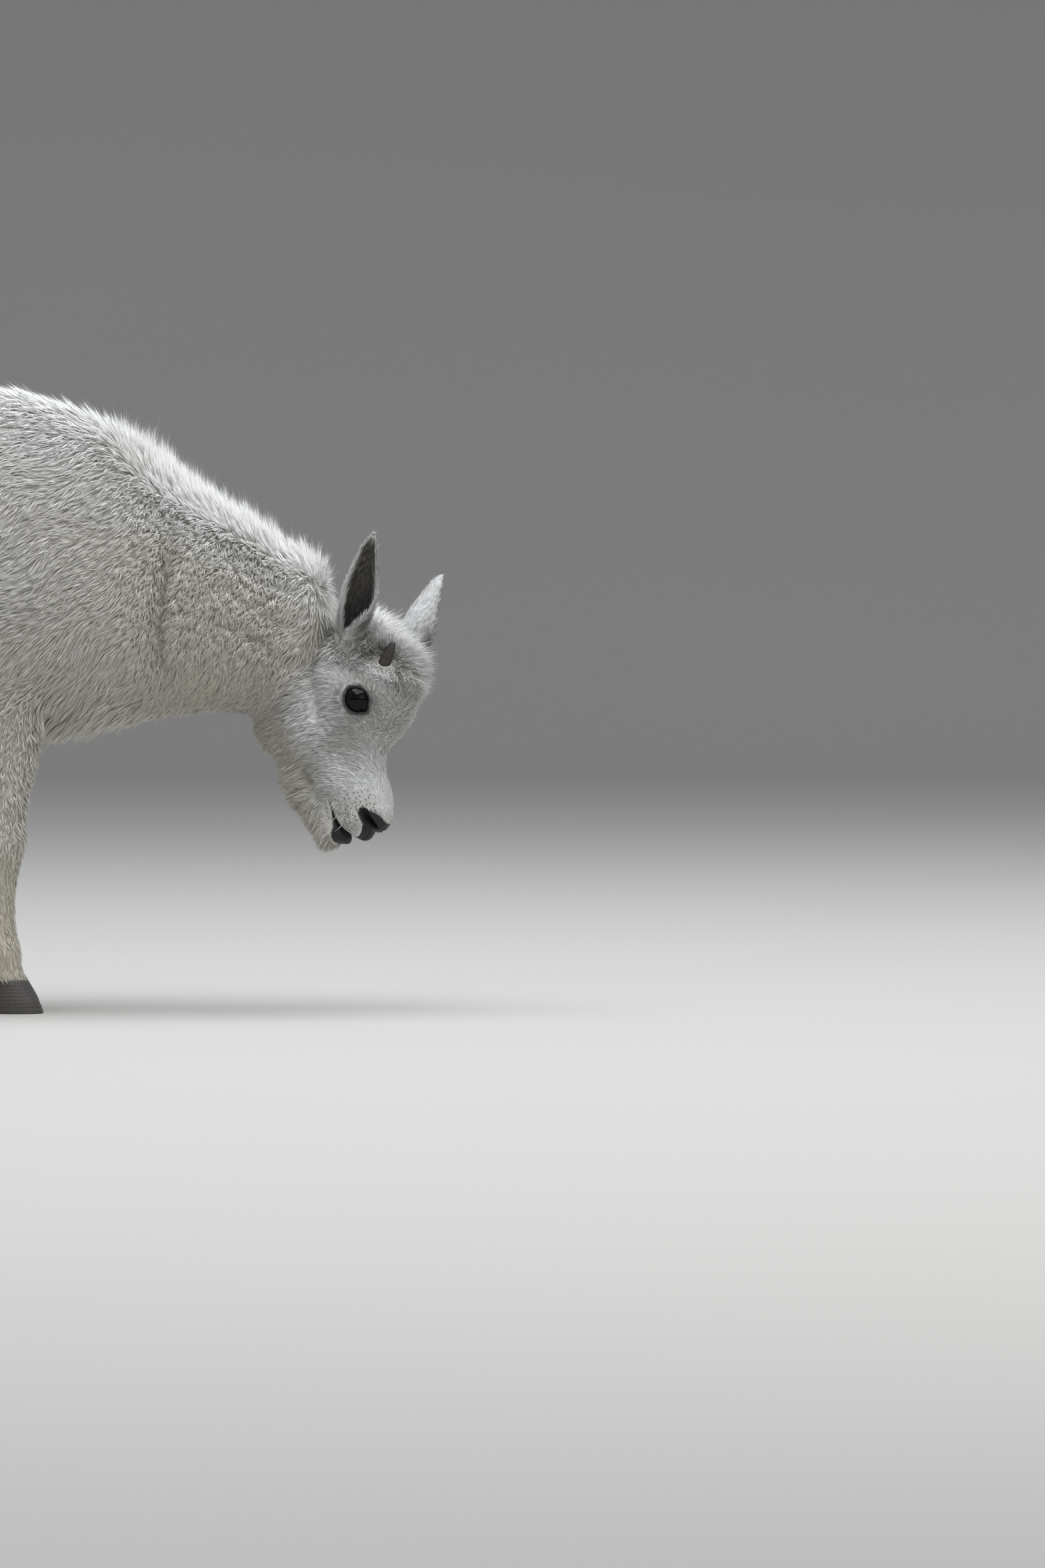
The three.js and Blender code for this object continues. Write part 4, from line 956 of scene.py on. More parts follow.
class Roots:
    """Where each tuft stands on the skin, with the skin's slope, markings and place on its map."""

    def __init__(self, skin, thickness):
        self.rng = rng = np.random.default_rng(COAT_SEED)
        mesh = skin.data
        points, normals = skin_points(skin)
        part = read(mesh.attributes["ear_part"].data, "value")
        shares = read(mesh.attributes["ear_share"].data, "vector", 3)
        uv = read(mesh.uv_layers["OFBake"].data, "uv", 2)
        mesh.calc_loop_triangles()
        corners = read(mesh.loop_triangles, "vertices", 3, np.int32)
        loops = read(mesh.loop_triangles, "loops", 3, np.int32)

        middle = points[corners].mean(axis=1)
        place = Place(middle)
        first = part[corners[:, 0]]
        zones = zone_shares(place, first, shares[corners].mean(axis=1))
        a, b, c = (points[corners[:, k]] for k in range(3))
        area = lengths(np.cross(b - a, c - a)) / 200  # square centimetres
        grows = (first > 0) | ((bareness(middle, place.h) < 0.5) & (middle[:, 2] > CORONET + 2))
        # the coat is finest on the side and end where it is shortest and best seen
        seen = ramp(middle[:, 0], -60, -20) * (middle[:, 1] < 0) * (middle[:, 2] > 60)
        density = zone_value(zones, THICK) + zone_value(zones, THIN)
        wanted = np.cumsum(area * density * thickness * grows * (1 + 0.35 * (seen - 0.5)))
        total = int(wanted[-1])
        at = (np.arange(total) + rng.random(total)) * wanted[-1] / total
        chosen = np.minimum(np.searchsorted(wanted, at), len(corners) - 1)
        r, s = rng.random(total), rng.random(total)
        over = r + s > 1
        r[over], s[over] = 1 - r[over], 1 - s[over]
        weight = np.stack([1 - r - s, r, s], axis=1)[:, :, None]
        corner = corners[chosen]
        p, normal, share = ((values[corner] * weight).sum(1) for values in (points, normals, shares))
        uv = (uv[loops[chosen]] * weight).sum(1)
        part = part[corner[:, 0]]
        h = body_to_head(p)
        keep = ((part > 0) | (bareness(p, h) < 0.5)) & (horn_gap(h, 0.4) > 0)
        self.p, self.normal, self.uv = p[keep], unit(normal)[keep], uv[keep]
        self.part, self.shares = part[keep], share[keep]
        self.place = place = Place(self.p)
        self.zones = zones = zone_shares(place, self.part, self.shares)
        self.zone = np.array(list(zones))[np.argmax(list(zones.values()), axis=0)]
        thick, thin = zone_value(zones, THICK), zone_value(zones, THIN)
        self.fine = rng.random(len(self.p)) * (thick + thin) > thick
        self.colour = ear_colours(coat_colours(place), self.part, self.shares)
        self.lie = lie_directions(place, zones, self.part)


def centre_lines(roots, length_scale):
    """Each tuft's way from the skin: direction at root and tip, length, width and sideways sway."""
    rng, zones, n, place = roots.rng, roots.zones, roots.normal, roots.place
    rise, ahead, aside, up = place.rise, place.ahead, place.aside, place.up
    crest, crown, cheek = zones["neck_crest"], zones["crown"], zones["cheek"]
    count = len(n)
    along = roots.lie + rng.normal(0, 0.16, (count, 3))
    along = unit(along - n * (along * n).sum(1, keepdims=True))
    # the crest and crown are ragged: short and long locks stand side by side
    ragged = crest + zones["back_crest"] + 0.6 * crown
    length = zone_value(zones, LENGTH) * length_scale * (1.12 - (0.4 + 0.26 * ragged) * rng.random(count))
    for change in (
        0.3 * roots.fine * (rng.random(count) < 0.25),
        -0.35 * cheek * ramp(up, -46, -20),
        -0.45 * cheek * ramp(-up, 28, 42) * (1 - ramp(ahead, 14, 32)),
        -0.5 * crest * (1 - ramp(rise, 0.68, 0.88)),
        -0.72 * place.on_head * (1 - ramp(horn_gap(place.h), 1, 10)),
        0.5 * crown * ramp(-ahead, 14, 34) * (1 - ramp(np.abs(aside), 16, 30)),
        -0.5 * (roots.part > 0) * ramp(roots.shares[:, 0], 0.8, 0.95),
    ):
        length *= 1 + change
    lift = 1 - 0.5 * crest * (1 - ramp(rise, 0.72, 0.96))
    # the hair stands off more along the jaw and at the edge of the forehead
    lift += 0.5 * cheek * ramp(-up, 34, 54) * ramp(ahead, 14, 32)
    lift += 0.8 * zones["face"] * ramp(up, 18, 30) * (ahead < 30)
    low = np.radians(zone_value(zones, ROOT_LIFT)) * lift * rng.uniform(0.75, 1.25, count)
    high = np.radians(zone_value(zones, TIP_LIFT)) * lift * rng.uniform(0.4, 1.6, count)
    start, end = (along * np.cos(angle)[:, None] + n * np.sin(angle)[:, None] for angle in (low, high))
    hang = 0.25 * (zones["belly"] + zones["back_crest"] + zones["chin"])
    end = unit(end - np.array([0, 0, 1.0]) * hang[:, None])
    width = zone_value(zones, WIDTH) * rng.uniform(0.8, 1.25, count) * np.where(roots.fine, 0.58, 1)
    sideways = unit(np.cross(along, n))
    crinkle = zone_value(zones, CRINKLE) * length * rng.uniform(0.6, 1.5, count) * rng.choice([-1, 1], count)
    return start, end, length, width, sideways, crinkle


def gather(roots, tips):
    """The pull of each tuft's tip to that of its lock, and its place across the lock."""
    p, zones = roots.p, roots.zones
    width = zone_value(zones, LOCK)
    density = zone_value(zones, THICK) + zone_value(zones, THIN)
    guides = np.flatnonzero(roots.rng.random(len(tips)) < 100 / (density * width * width))
    tree = KDTree(len(guides))
    for number, guide in enumerate(guides):
        tree.insert(p[guide], number)
    tree.balance()
    own = guides[np.array([tree.find(point)[1] for point in p])]
    same = (roots.part[own] == roots.part) & (lengths(p[own] - p) < 14)
    share = zone_value(zones, GATHER) * same
    pull = (tips[own] - tips) * (share * roots.rng.uniform(0.6, 1.15, len(tips)))[:, None]
    across = p - p[own]
    across -= roots.normal * (across * roots.normal).sum(1, keepdims=True)
    return pull, across / width[:, None] * share[:, None]


def tuft_form(rings):
    """Triangles of a closed, pointed, three-sided tuft, and its patch on the skin's map."""
    corner = []
    for a in range(3 * (rings - 1)):
        b = a + 1 if a % 3 < 2 else a - 2
        corner += [(a, a + 3, b), (b, a + 3, b + 3)]
    last = 3 * (rings - 1)
    corner += [(last + j, 3 * rings, last + (j + 1) % 3) for j in range(3)] + [(0, 1, 2)]
    patch = [((j - 1) * PATCH / 2, (i / rings - 0.5) * PATCH - 0.0002 * (j == 1))
             for i in range(rings) for j in range(3)] + [(0, PATCH / 2)]
    return np.array(corner), np.array(patch)


def tuft_mesh(name, roots, chosen, lines, pull, across_lock, rings, material):
    """One mesh of tufts on the chosen roots."""
    start, end, length, width, sideways, crinkle = (line[chosen] for line in lines)
    pull, across_lock, n = pull[chosen], across_lock[chosen], roots.normal[chosen]
    on_head, on_leg = roots.place.on_head[chosen], roots.place.on_leg[chosen]
    count = len(n)
    levels = np.linspace(0, 1, rings + 1)
    points = np.empty((count, 3 * rings + 1, 3))
    normals = np.empty_like(points)
    base = roots.p[chosen] - n * np.minimum(0.8, 0.12 * length)[:, None]
    for i, u in enumerate(levels):
        centre = base + length[:, None] * (u * start + 0.5 * u * u * (end - start))
        centre += pull * u**1.6
        centre += sideways * (crinkle * math.sin(2 * math.pi * u * 1.1) * u)[:, None]
        if i == rings:
            points[:, -1] = centre
            normals[:, -1] = n
            continue
        direction = unit(start + u * (end - start))
        across = unit(np.cross(direction, n))
        out = np.cross(across, direction)
        half = (0.5 * width * np.interp(u, [0, 0.5], [1, 0.9]))[:, None]
        for j, (way, flat) in enumerate(((across, 1), (out, 0.9), (-across, 1))):
            points[:, 3 * i + j] = centre + way * half * flat
            normals[:, 3 * i + j] = way
    # light falls on a lock as on a rounded form, and only a little on each tuft by itself
    woolly = (roots.zones["neck_wool"] * (1 - ramp(roots.place.rise, 0.3, 0.6)))[chosen]
    woolly += roots.zones["upper_leg"][chosen]
    own = (0.2 + 0.22 * on_head + 0.1 * woolly)[:, None, None]
    curl = 0.32 + 0.28 * woolly
    lock = unit(n + 1.4 * curl[:, None] * across_lock)
    normals = unit(own * normals + (1 - own) * lock[:, None])
    corner, patch = tuft_form(rings)
    triangles = (corner + (np.arange(count) * len(patch))[:, None, None]).ravel()
    uv = (roots.uv[chosen][:, None] + patch).reshape(-1, 2)

    rng = roots.rng
    shade = rng.normal(0, 0.055 + (0.085 * on_head + 0.035 * on_leg))
    # painted shade: tufts at the edge of a lock are darker, as in the crevices between locks
    shade -= 0.5 * curl * (across_lock**2).sum(1) / np.maximum(zone_value(roots.zones, GATHER)[chosen], 0.1)
    colour = mix(roots.colour[chosen], CREAM, rng.uniform(0, 0.3, count) * (1 - on_head))
    colour = colour * (1 + shade[:, None])
    level = np.append(np.repeat(levels[:-1], 3), 1)
    # painted shade: each tuft darkens towards its root, deep in the coat
    dark = np.array([ZONES[zone][ROOT_SHADE] for zone in roots.zone[chosen]])[:, None]
    deep = dark + (1.03 - dark) * level[None, :] ** 0.7
    tint = np.clip(colour[:, None] * deep[:, :, None], 0, 0.97).reshape(-1, 3)

    mesh = bpy.data.meshes.new(name)
    flat = to_frame(points.reshape(-1, 3))
    mesh.vertices.add(len(flat))
    mesh.vertices.foreach_set("co", flat.ravel())
    mesh.loops.add(len(triangles))
    mesh.loops.foreach_set("vertex_index", triangles)
    mesh.polygons.add(len(triangles) // 3)
    mesh.polygons.foreach_set("loop_start", np.arange(0, len(triangles), 3))
    mesh.polygons.foreach_set("use_smooth", np.ones(len(triangles) // 3, bool))
    mesh.update(calc_edges=True)
    mesh.uv_layers.new(name="OFBake").data.foreach_set("uv", uv[triangles].ravel())
    set_tint(mesh, tint)
    mesh.materials.append(material)
    mesh.normals_split_custom_set_from_vertices(normals.reshape(-1, 3))
    return place_in_scene(name, mesh)


def build_coat(skin, thickness, length_scale, material):
    roots = Roots(skin, thickness)
    lines = centre_lines(roots, length_scale)
    start, end, length = lines[:3]
    pull, across_lock = gather(roots, roots.p + length[:, None] * 0.5 * (start + end))
    for name, zones in COAT_PIECES.items():
        for ending, rings, kind in (("", 2, ~roots.fine), ("_fine", 1, roots.fine)):
            chosen = np.flatnonzero(np.isin(roots.zone, zones) & kind)
            if not len(chosen):
                continue
            parts = math.ceil(len(chosen) * (6 * rings - 2) / PIECE_LIMIT)
            order = chosen[np.argsort(roots.p[chosen][:, 0], kind="stable")]
            for number, some in enumerate(np.array_split(order, parts), 1):
                label = name + ending + (f"_{number}" if parts > 1 else "")
                obj = tuft_mesh(label, roots, some, lines, pull, across_lock, rings, material)
                finish_piece(obj, "leg_coat" if "leg" in name else "coat")


# Materials

def node(tree, kind, settings=None, **sockets):
    """Adds a shader node, sets its properties, and fills its sockets with values or links."""
    made = tree.nodes.new(kind)
    for key, value in (settings or {}).items():
        setattr(made, key, value)
    for key, value in sockets.items():
        socket = made.inputs[int(key[1:])] if key[0] == "i" and key[1:].isdigit() else made.inputs[key]
        if isinstance(value, bpy.types.NodeSocket):
            tree.links.new(value, socket)
        else:
            socket.default_value = value
    return made


def noise(tree, coords, scale, detail=2.0):
    return node(tree, "ShaderNodeTexNoise", Vector=coords, Scale=scale, Detail=detail).outputs["Fac"]


def calculate(tree, operation, *values):
    sockets = {f"i{k}": value for k, value in enumerate(values)}
    return node(tree, "ShaderNodeMath", {"operation": operation}, **sockets).outputs[0]


def scaled(tree, vector, scale, shift=(0.0, 0.0, 0.0)):
    return node(tree, "ShaderNodeVectorMath", {"operation": "MULTIPLY_ADD"}, i0=vector, i1=scale,
                i2=shift).outputs[0]


def two_tone(tree, share, first, second):
    """A colour between two, each a hex, a linear colour or another node's."""
    ends = [(*linear(tone), 1) if isinstance(tone, str) else tone for tone in (first, second)]
    return node(tree, "ShaderNodeMix", {"data_type": "RGBA"}, i0=share, i6=ends[0], i7=ends[1]).outputs[2]


def between_values(tree, share, low, high):
    return node(tree, "ShaderNodeMapRange", Value=share, i3=low, i4=high).outputs[0]


def bump(tree, height, strength, distance):
    return node(tree, "ShaderNodeBump", Strength=strength, Distance=distance, Height=height).outputs[0]


def tint(tree):
    return node(tree, "ShaderNodeAttribute", {"attribute_name": "coat_tint"}).outputs["Color"]


def material(recipe, *values):
    """The material named as its recipe, which is one of the functions below and gives the
    sockets of its shader. It is made at its first use."""
    made = bpy.data.materials.get(recipe.__name__)
    if made is None:
        made = bpy.data.materials.new(recipe.__name__)
        made.use_nodes = True
        tree = made.node_tree
        tree.nodes.clear()
        coords = node(tree, "ShaderNodeTexCoord").outputs["Object"]
        shader = node(tree, "ShaderNodeBsdfPrincipled", **recipe(tree, coords, *values))
        node(tree, "ShaderNodeOutputMaterial", Surface=shader.outputs[0])
    return made


def goat_skin(tree, coords):
    """Kid skin under short hair: matt, faintly rough, with the coat's own markings."""
    return {"Base Color": tint(tree), "Roughness": 0.62,
            "Normal": bump(tree, noise(tree, coords, 900.0, 3.0), 0.35, 0.0006)}


def goat_hair(tree, coords):
    """White kid hair: soft and matt, a faint sheen at the edge, cream where the wool is greasy."""
    fine = noise(tree, coords, 700.0)
    return {"Base Color": tint(tree), "Roughness": between_values(tree, fine, 0.5, 0.72),
            "Normal": bump(tree, fine, 0.2, 0.0002), "Sheen Weight": 0.2, "Sheen Roughness": 0.4,
            "Subsurface Weight": 0.35, "Subsurface Radius": (1.0, 0.97, 0.93), "Subsurface Scale": 0.0015}


def wet_eye(tree, coords):
    """A kid's wet eye: near black, with a dark brown iris that shows only close by, and mirror-smooth."""
    return {"Base Color": tint(tree), "Roughness": 0.04, "IOR": 1.27,
            "Normal": bump(tree, noise(tree, coords, 420.0), 0.03, 0.0002)}


def horn_keratin(tree, coords):
    """A young horn bud: dark grey-brown keratin, dull and scaly, paler where it wears."""
    scaly = node(tree, "ShaderNodeTexVoronoi", Vector=coords, Scale=650.0).outputs["Distance"]
    fine = noise(tree, coords, 900.0, 4.0)
    return {"Base Color": two_tone(tree, fine, "#211d1b", "#453f3a"),
            "Roughness": between_values(tree, fine, 0.45, 0.75), "Normal": bump(tree, scaly, 0.6, 0.0005)}


def hoof_keratin(tree, coords):
    """A kid's hoof: dark slate keratin, satin, with fine upright fibres and pale growth lines."""
    fibre = noise(tree, scaled(tree, coords, (1.0, 1.0, 0.08)), 1400.0, 3.0)
    level = node(tree, "ShaderNodeSeparateXYZ", i0=coords).outputs["Z"]
    height = calculate(tree, "MULTIPLY_ADD", noise(tree, coords, 60.0), 0.006, level)
    lines = calculate(tree, "SINE", calculate(tree, "MULTIPLY", height, 2400.0))
    share = node(tree, "ShaderNodeMapRange", Value=lines, i1=-1.0, i3=0.15, i4=0.45).outputs[0]
    dark = two_tone(tree, fibre, "#2b2927", "#4a4643")
    return {"Base Color": two_tone(tree, share, dark, "#5d5752"),
            "Roughness": between_values(tree, fibre, 0.38, 0.62), "Normal": bump(tree, fibre, 0.4, 0.0004)}


def goat_whisker(tree, coords):
    """Whiskers: smooth pale grey bristle, glossier than the fur."""
    return {"Base Color": two_tone(tree, noise(tree, coords, 300.0), "#b9b4ab", "#e6e3dc"), "Roughness": 0.35}


def goat_lash(tree, coords):
    """Lashes and follicles: dark grey-brown, nearly matt."""
    return {"Base Color": two_tone(tree, noise(tree, coords, 500.0), "#3a3532", "#6a625b"), "Roughness": 0.5}


def studio_floor_paint(tree, coords, colour, reach, rise):
    """Matt studio paint, one colour but for faint clouds as wide as a step."""
    over = scaled(tree, coords, (0.5 / reach, 0.5 / reach, 1 / rise), (0.5, 0.5, 0.0))
    tones = [(*colour, 1), (*(0.93 * c for c in colour), 1)]
    return {"Base Color": two_tone(tree, noise(tree, over, 6.0), *tones), "Roughness": 0.9}


# Eyes, horn buds and hooves

def build_eye(side):
    """An eyeball with a low bulge for the cornea, its iris and the bar of its pupil in its tint."""
    centre, look, up, aside = eye_axes(side)
    around, rings = 64, 34
    i, phi = ring_grid(rings, around)
    theta = 2.3 * (i + 0.4) / rings
    direction = np.outer(np.cos(theta), look) + circle(phi, aside, up) * np.sin(theta)[:, None]
    points = centre + direction * (EYE_RADIUS + 0.9 * hill(theta, 0, 0.5))[:, None]
    a, b = (EYE_RADIUS * np.sin(theta) * part for part in (np.cos(phi), np.sin(phi)))
    pupil = 1 - ramp(np.hypot(a / 5.6, b / 3.0), 0.85, 1.05)
    streak = 0.8 + 0.3 * np.sin(23 * phi) * np.sin(9 * phi + 1)
    iris = 1 - ramp(EYE_RADIUS * theta, 7.6, 8.6)
    colours = mix(linear("#080606"), linear("#0f0a08") * streak[:, None], iris)
    obj = mesh_object(f"eye_{SIDE_NAMES[side]}_ball", *join_forms([(points, around)]), material(wet_eye))
    set_tint(obj.data, mix(colours, linear("#050505"), pupil))
    face_outwards(obj)
    return obj


def build_horn(side):
    """A blunt cone with a few growth ridges, rooted in the skin."""
    root, tip = (head_to_body(end) for end in horn_line(side))
    axis = unit(tip - root)
    across = unit(np.cross(axis, [0, 0, 1]))
    around, rings, sunk = 36, 40, 3
    length = np.linalg.norm(tip - root) + 1.5 + sunk
    i, phi = ring_grid(rings, around)
    u = i / (rings - 1)
    bell = 0.06 + 0.94 * (1 - u**2.1) ** 0.55
    ridges = 1 + 0.035 * np.sin(34 * u) * (1 - u)
    radius = HORN_BUD["radius"] * 1.08 * bell * ridges * (1 + 0.05 * np.sin(3 * phi + 7 * u))
    points = root - axis * sunk + np.outer(u * length, axis)
    points += circle(phi, across, np.cross(axis, across)) * radius[:, None]
    obj = mesh_object(f"horn_{SIDE_NAMES[side]}", *join_forms([(points, around)]), material(horn_keratin))
    face_outwards(obj)
    return obj


# A claw: height, length, width and setback of its D-shaped outline.
CLAW = np.array([[0, 37, 15.5, 0], [8, 34, 15, -1.5], [16, 30, 13.5, -4], [23.7, 26, 12, -6.5]])
CLAW_PARTING = 1.6
CLAW_FORWARD = 9.0
DEWCLAW = {"height": 42, "radius": 5.5, "length": 15, "apart": 9, "back": 19, "tilt": 0.3}


def build_foot(name, leg):
    """Two claws on flat soles with a cleft between them, and two dewclaws."""
    stations, leg_x, leg_side = leg
    foot_x, foot_y = leg_x + stations[-1, 1], leg_side * FOOT_SPREAD
    # heights of the rings: a worn edge at the sole, then close rows up to the coronet
    heights = np.concatenate([[0, 0, 0.5, 1.4], np.linspace(2.4, 23.7, 26), [24.6, 24.9]])
    inset = np.concatenate([[1.0, 0.45, 0.1, 0], np.zeros(26), [0.7, 2.2]])
    ridge = 0.16 * np.sin(heights * 2.4) * ramp(heights, 2, 4) * (1 - ramp(heights, 21, 24))
    around, turn, rings = 56, 20, 16
    i, angle = ring_grid(len(heights), around)
    length, width, setback = between(CLAW, heights)[:, i]
    inset, ridge, z = inset[i], ridge[i], heights[i]
    claw_x = foot_x + CLAW_FORWARD + setback + np.cos(angle) * (length / 2 - inset + ridge)
    out = np.maximum(np.sin(angle), 0) ** 0.7 * (width - inset + ridge)
    claw_y = CLAW_PARTING + out + np.minimum(np.sin(angle), 0) * 0.9 + inset * 0.6
    i, phi = ring_grid(rings, turn)
    u = -np.cos(np.pi * (i + 0.3) / (rings - 0.4))
    radius = DEWCLAW["radius"] * np.sqrt(np.maximum(1 - u * u, 0)) * (1 + 0.03 * np.sin(14 * u))
    level, rise = radius * np.cos(phi), u * DEWCLAW["length"] / 2
    lean, stand = math.sin(DEWCLAW["tilt"]), math.cos(DEWCLAW["tilt"])
    dewclaw_x = foot_x - DEWCLAW["back"] + level * stand + rise * lean
    dewclaw_z = DEWCLAW["height"] - level * lean + rise * stand
    forms = []
    for side in SIDES:
        dewclaw_y = foot_y + side * DEWCLAW["apart"] + 0.8 * radius * np.sin(phi)
        forms.append((np.stack([claw_x, foot_y + side * claw_y, z], axis=1), around))
        forms.append((np.stack([dewclaw_x, dewclaw_y, dewclaw_z], axis=1), turn))
    obj = mesh_object(name, *join_forms(forms), material(hoof_keratin))
    face_outwards(obj)
    return obj


# Whiskers, chin hairs and lashes, so many on each side

FOLLICLES, LIP_WHISKERS, CHIN_WHISKERS, LASHES = 56, 14, 22, 26
BEAD_RADIUS = 0.5
HAIR_SEED = 7
LASH_RADIUS = 0.12
WHISKER_BEND, LASH_BEND = 3.0, -1.2


def stiff_hair_tree(dress):
    """A node group that stands a thin bent spike on every point, along its lean and to its reach."""
    tree = bpy.data.node_groups.new("stiff_hairs", "GeometryNodeTree")
    sockets = {}
    tree.interface.new_socket("Geometry", in_out="INPUT", socket_type="NodeSocketGeometry")
    for name, kind, value in (("Thickness", "Float", 0.00016), ("Bend", "Float", 0.003),
                              ("Unevenness", "Float", 0.3), ("Seed", "Int", HAIR_SEED)):
        socket = tree.interface.new_socket(name, in_out="INPUT", socket_type="NodeSocket" + kind)
        socket.default_value = value
        sockets[name] = socket.identifier
    tree.interface.new_socket("Geometry", in_out="OUTPUT", socket_type="NodeSocketGeometry")
    inputs = node(tree, "NodeGroupInput").outputs
    spike = node(tree, "GeometryNodeMeshCone", Vertices=4, i1=5, i3=0.0, i4=inputs["Thickness"], Depth=1.0)
    place = node(tree, "GeometryNodeInputPosition")
    up = node(tree, "ShaderNodeSeparateXYZ", i0=place.outputs[0]).outputs["Z"]
    aside = calculate(tree, "MULTIPLY", calculate(tree, "MULTIPLY", up, up), inputs["Bend"])
    shift = node(tree, "ShaderNodeCombineXYZ", i0=aside)
    bent = node(tree, "GeometryNodeSetPosition", Geometry=spike.outputs["Mesh"], Offset=shift.outputs[0])
    lean, reach = (node(tree, "GeometryNodeInputNamedAttribute", {"data_type": kind}, Name=name)
                   for name, kind in (("lean", "FLOAT_VECTOR"), ("reach", "FLOAT")))
    turned = node(tree, "FunctionNodeAlignEulerToVector", {"axis": "Z"}, Vector=lean.outputs["Attribute"])
    chance = node(tree, "FunctionNodeRandomValue", {"data_type": "FLOAT"}, i3=1.0, Seed=inputs["Seed"],
                  i2=calculate(tree, "SUBTRACT", 1.0, inputs["Unevenness"]))
    long = calculate(tree, "MULTIPLY", reach.outputs["Attribute"], chance.outputs[1])
    scale = node(tree, "ShaderNodeCombineXYZ", i0=1.0, i1=1.0, i2=long)
    stood = node(tree, "GeometryNodeInstanceOnPoints", Points=inputs["Geometry"],
                 Instance=bent.outputs[0], Rotation=turned.outputs[0], Scale=scale.outputs[0])
    made = node(tree, "GeometryNodeRealizeInstances", Geometry=stood.outputs[0])
    dressed = node(tree, "GeometryNodeSetMaterial", Geometry=made.outputs[0], Material=dress)
    node(tree, "NodeGroupOutput", Geometry=dressed.outputs[0])
    return tree, sockets


def stiff_hairs(name, hairs, thickness, bend, dress):
    """Grows stiff hairs with the node group, as one plain mesh. Each row of hairs is where one
    stands, which way it leans and how far it reaches."""
    spots, leans, reaches = (np.concatenate(column) for column in zip(*hairs))
    tree, sockets = stiff_hair_tree(dress)
    mesh = bpy.data.meshes.new(name)
    mesh.from_pydata(to_frame(spots).tolist(), [], [])
    store(mesh, "lean", leans)
    store(mesh, "reach", reaches * MM)
    obj = place_in_scene(name, mesh)
    modifier = obj.modifiers.new("stiff_hairs", "NODES")
    modifier.node_group = tree
    modifier[sockets["Thickness"]] = thickness * MM
    modifier[sockets["Bend"]] = bend * MM
    modifier[sockets["Seed"]] = HAIR_SEED
    shown = obj.evaluated_get(bpy.context.evaluated_depsgraph_get())
    grown = bpy.data.meshes.new_from_object(shown)
    obj.modifiers.clear()
    obj.data = grown
    grown.name = name
    return obj


def spread_out(points, wanted, apart, rng):
    """Picks points at random that keep a distance from each other."""
    picked = []
    for index in rng.permutation(len(points)):
        if all(np.linalg.norm(points[index] - points[other]) > apart for other in picked):
            picked.append(index)
        if len(picked) == wanted:
            break
    return np.array(picked)


def build_whiskers(points, normals, thickness):
    rng = np.random.default_rng(11)
    h = body_to_head(points)
    ahead, up, under = h[:, 0], h[:, 2], -above_mouth(h)
    haired = bareness(points, h) < 0.3

    def bristles(some, outwards, lean, stray, low, high):
        leans = unit(normals[some] * outwards + lean + rng.normal(0, stray, (len(some), 3)))
        return points[some], leans, rng.uniform(low, high, len(some))

    whiskers, bead_spots, lashes = [], [], []
    for side in SIDES:
        out = h[:, 1] * side
        lip = np.flatnonzero((ahead > 66) & (ahead < 90) & (out > 10) & (under < -3) & (up < 5) & haired)
        some = lip[spread_out(points[lip], FOLLICLES, 2.2, rng)]
        bead_spots.append(points[some] + normals[some] * 0.35)
        some = some[(up[some] < -11) & (ahead[some] < 84)][:LIP_WHISKERS]
        whiskers.append(bristles(some, 1, [-0.1, 0, -0.75], 0.12, 7, 20))
        chin = np.flatnonzero((out > 0) & (ahead > 58) & (under > 9) & (up < -38))
        some = chin[spread_out(points[chin], CHIN_WHISKERS, 2.4, rng)]
        whiskers.append(bristles(some, 0.8, [-0.2, 0, -0.9], 0.15, 10, 21))
    grown = stiff_hairs("whiskers", whiskers, thickness, WHISKER_BEND, material(goat_whisker))
    # follicles: small dark domes on the upper lip
    i, turn = ring_grid(5, 8)
    tilt = np.pi * (i + 0.5) / 5
    bead = circle(turn, [1, 0, 0], [0, 1, 0]) * np.sin(tilt)[:, None] + np.outer(np.cos(tilt), [0, 0, 1])
    beads = join_forms([(centre + BEAD_RADIUS * bead, 8) for centre in np.concatenate(bead_spots)])
    follicles = mesh_object("whisker_follicles", *beads, material(goat_lash))
    face_outwards(follicles)
    for side in SIDES:
        centre, look, up, aside = eye_axes(side)
        for phi in np.linspace(0.8, 2.6, LASHES):
            theta = (lid_edge(phi) + 0.9) / EYE_RADIUS
            out = aside * math.cos(phi) + up * math.sin(phi)
            spot = centre + (look * math.cos(theta) + out * math.sin(theta)) * (EYE_RADIUS + 1.6)
            lean = unit(look * 0.8 + out * 0.55 + rng.normal(0, 0.1, 3))
            lashes.append(([spot], [lean], [rng.uniform(3, 5)]))
    return grown, follicles, stiff_hairs("lashes", lashes, LASH_RADIUS, LASH_BEND, material(goat_lash))


# Studio

# The photo's view, in metres but for the first: how far its middle is ahead of the near
# foreleg in mm, the height of its middle, the camera's place and the height of the frame.
VIEW_AHEAD, VIEW_HEIGHT = 392, 0.1695
CAMERA_Y, CAMERA_Z = -6.0, 0.3
FRAME_HEIGHT = 1.176
SENSOR = 36
LIGHTS_AIM = (0.1, 0, 0.3)
FLOOR_CURVE = 2.5


def aim(obj, target):
    obj.rotation_euler = (Vector(target) - obj.location).to_track_quat("-Z", "Y").to_euler()


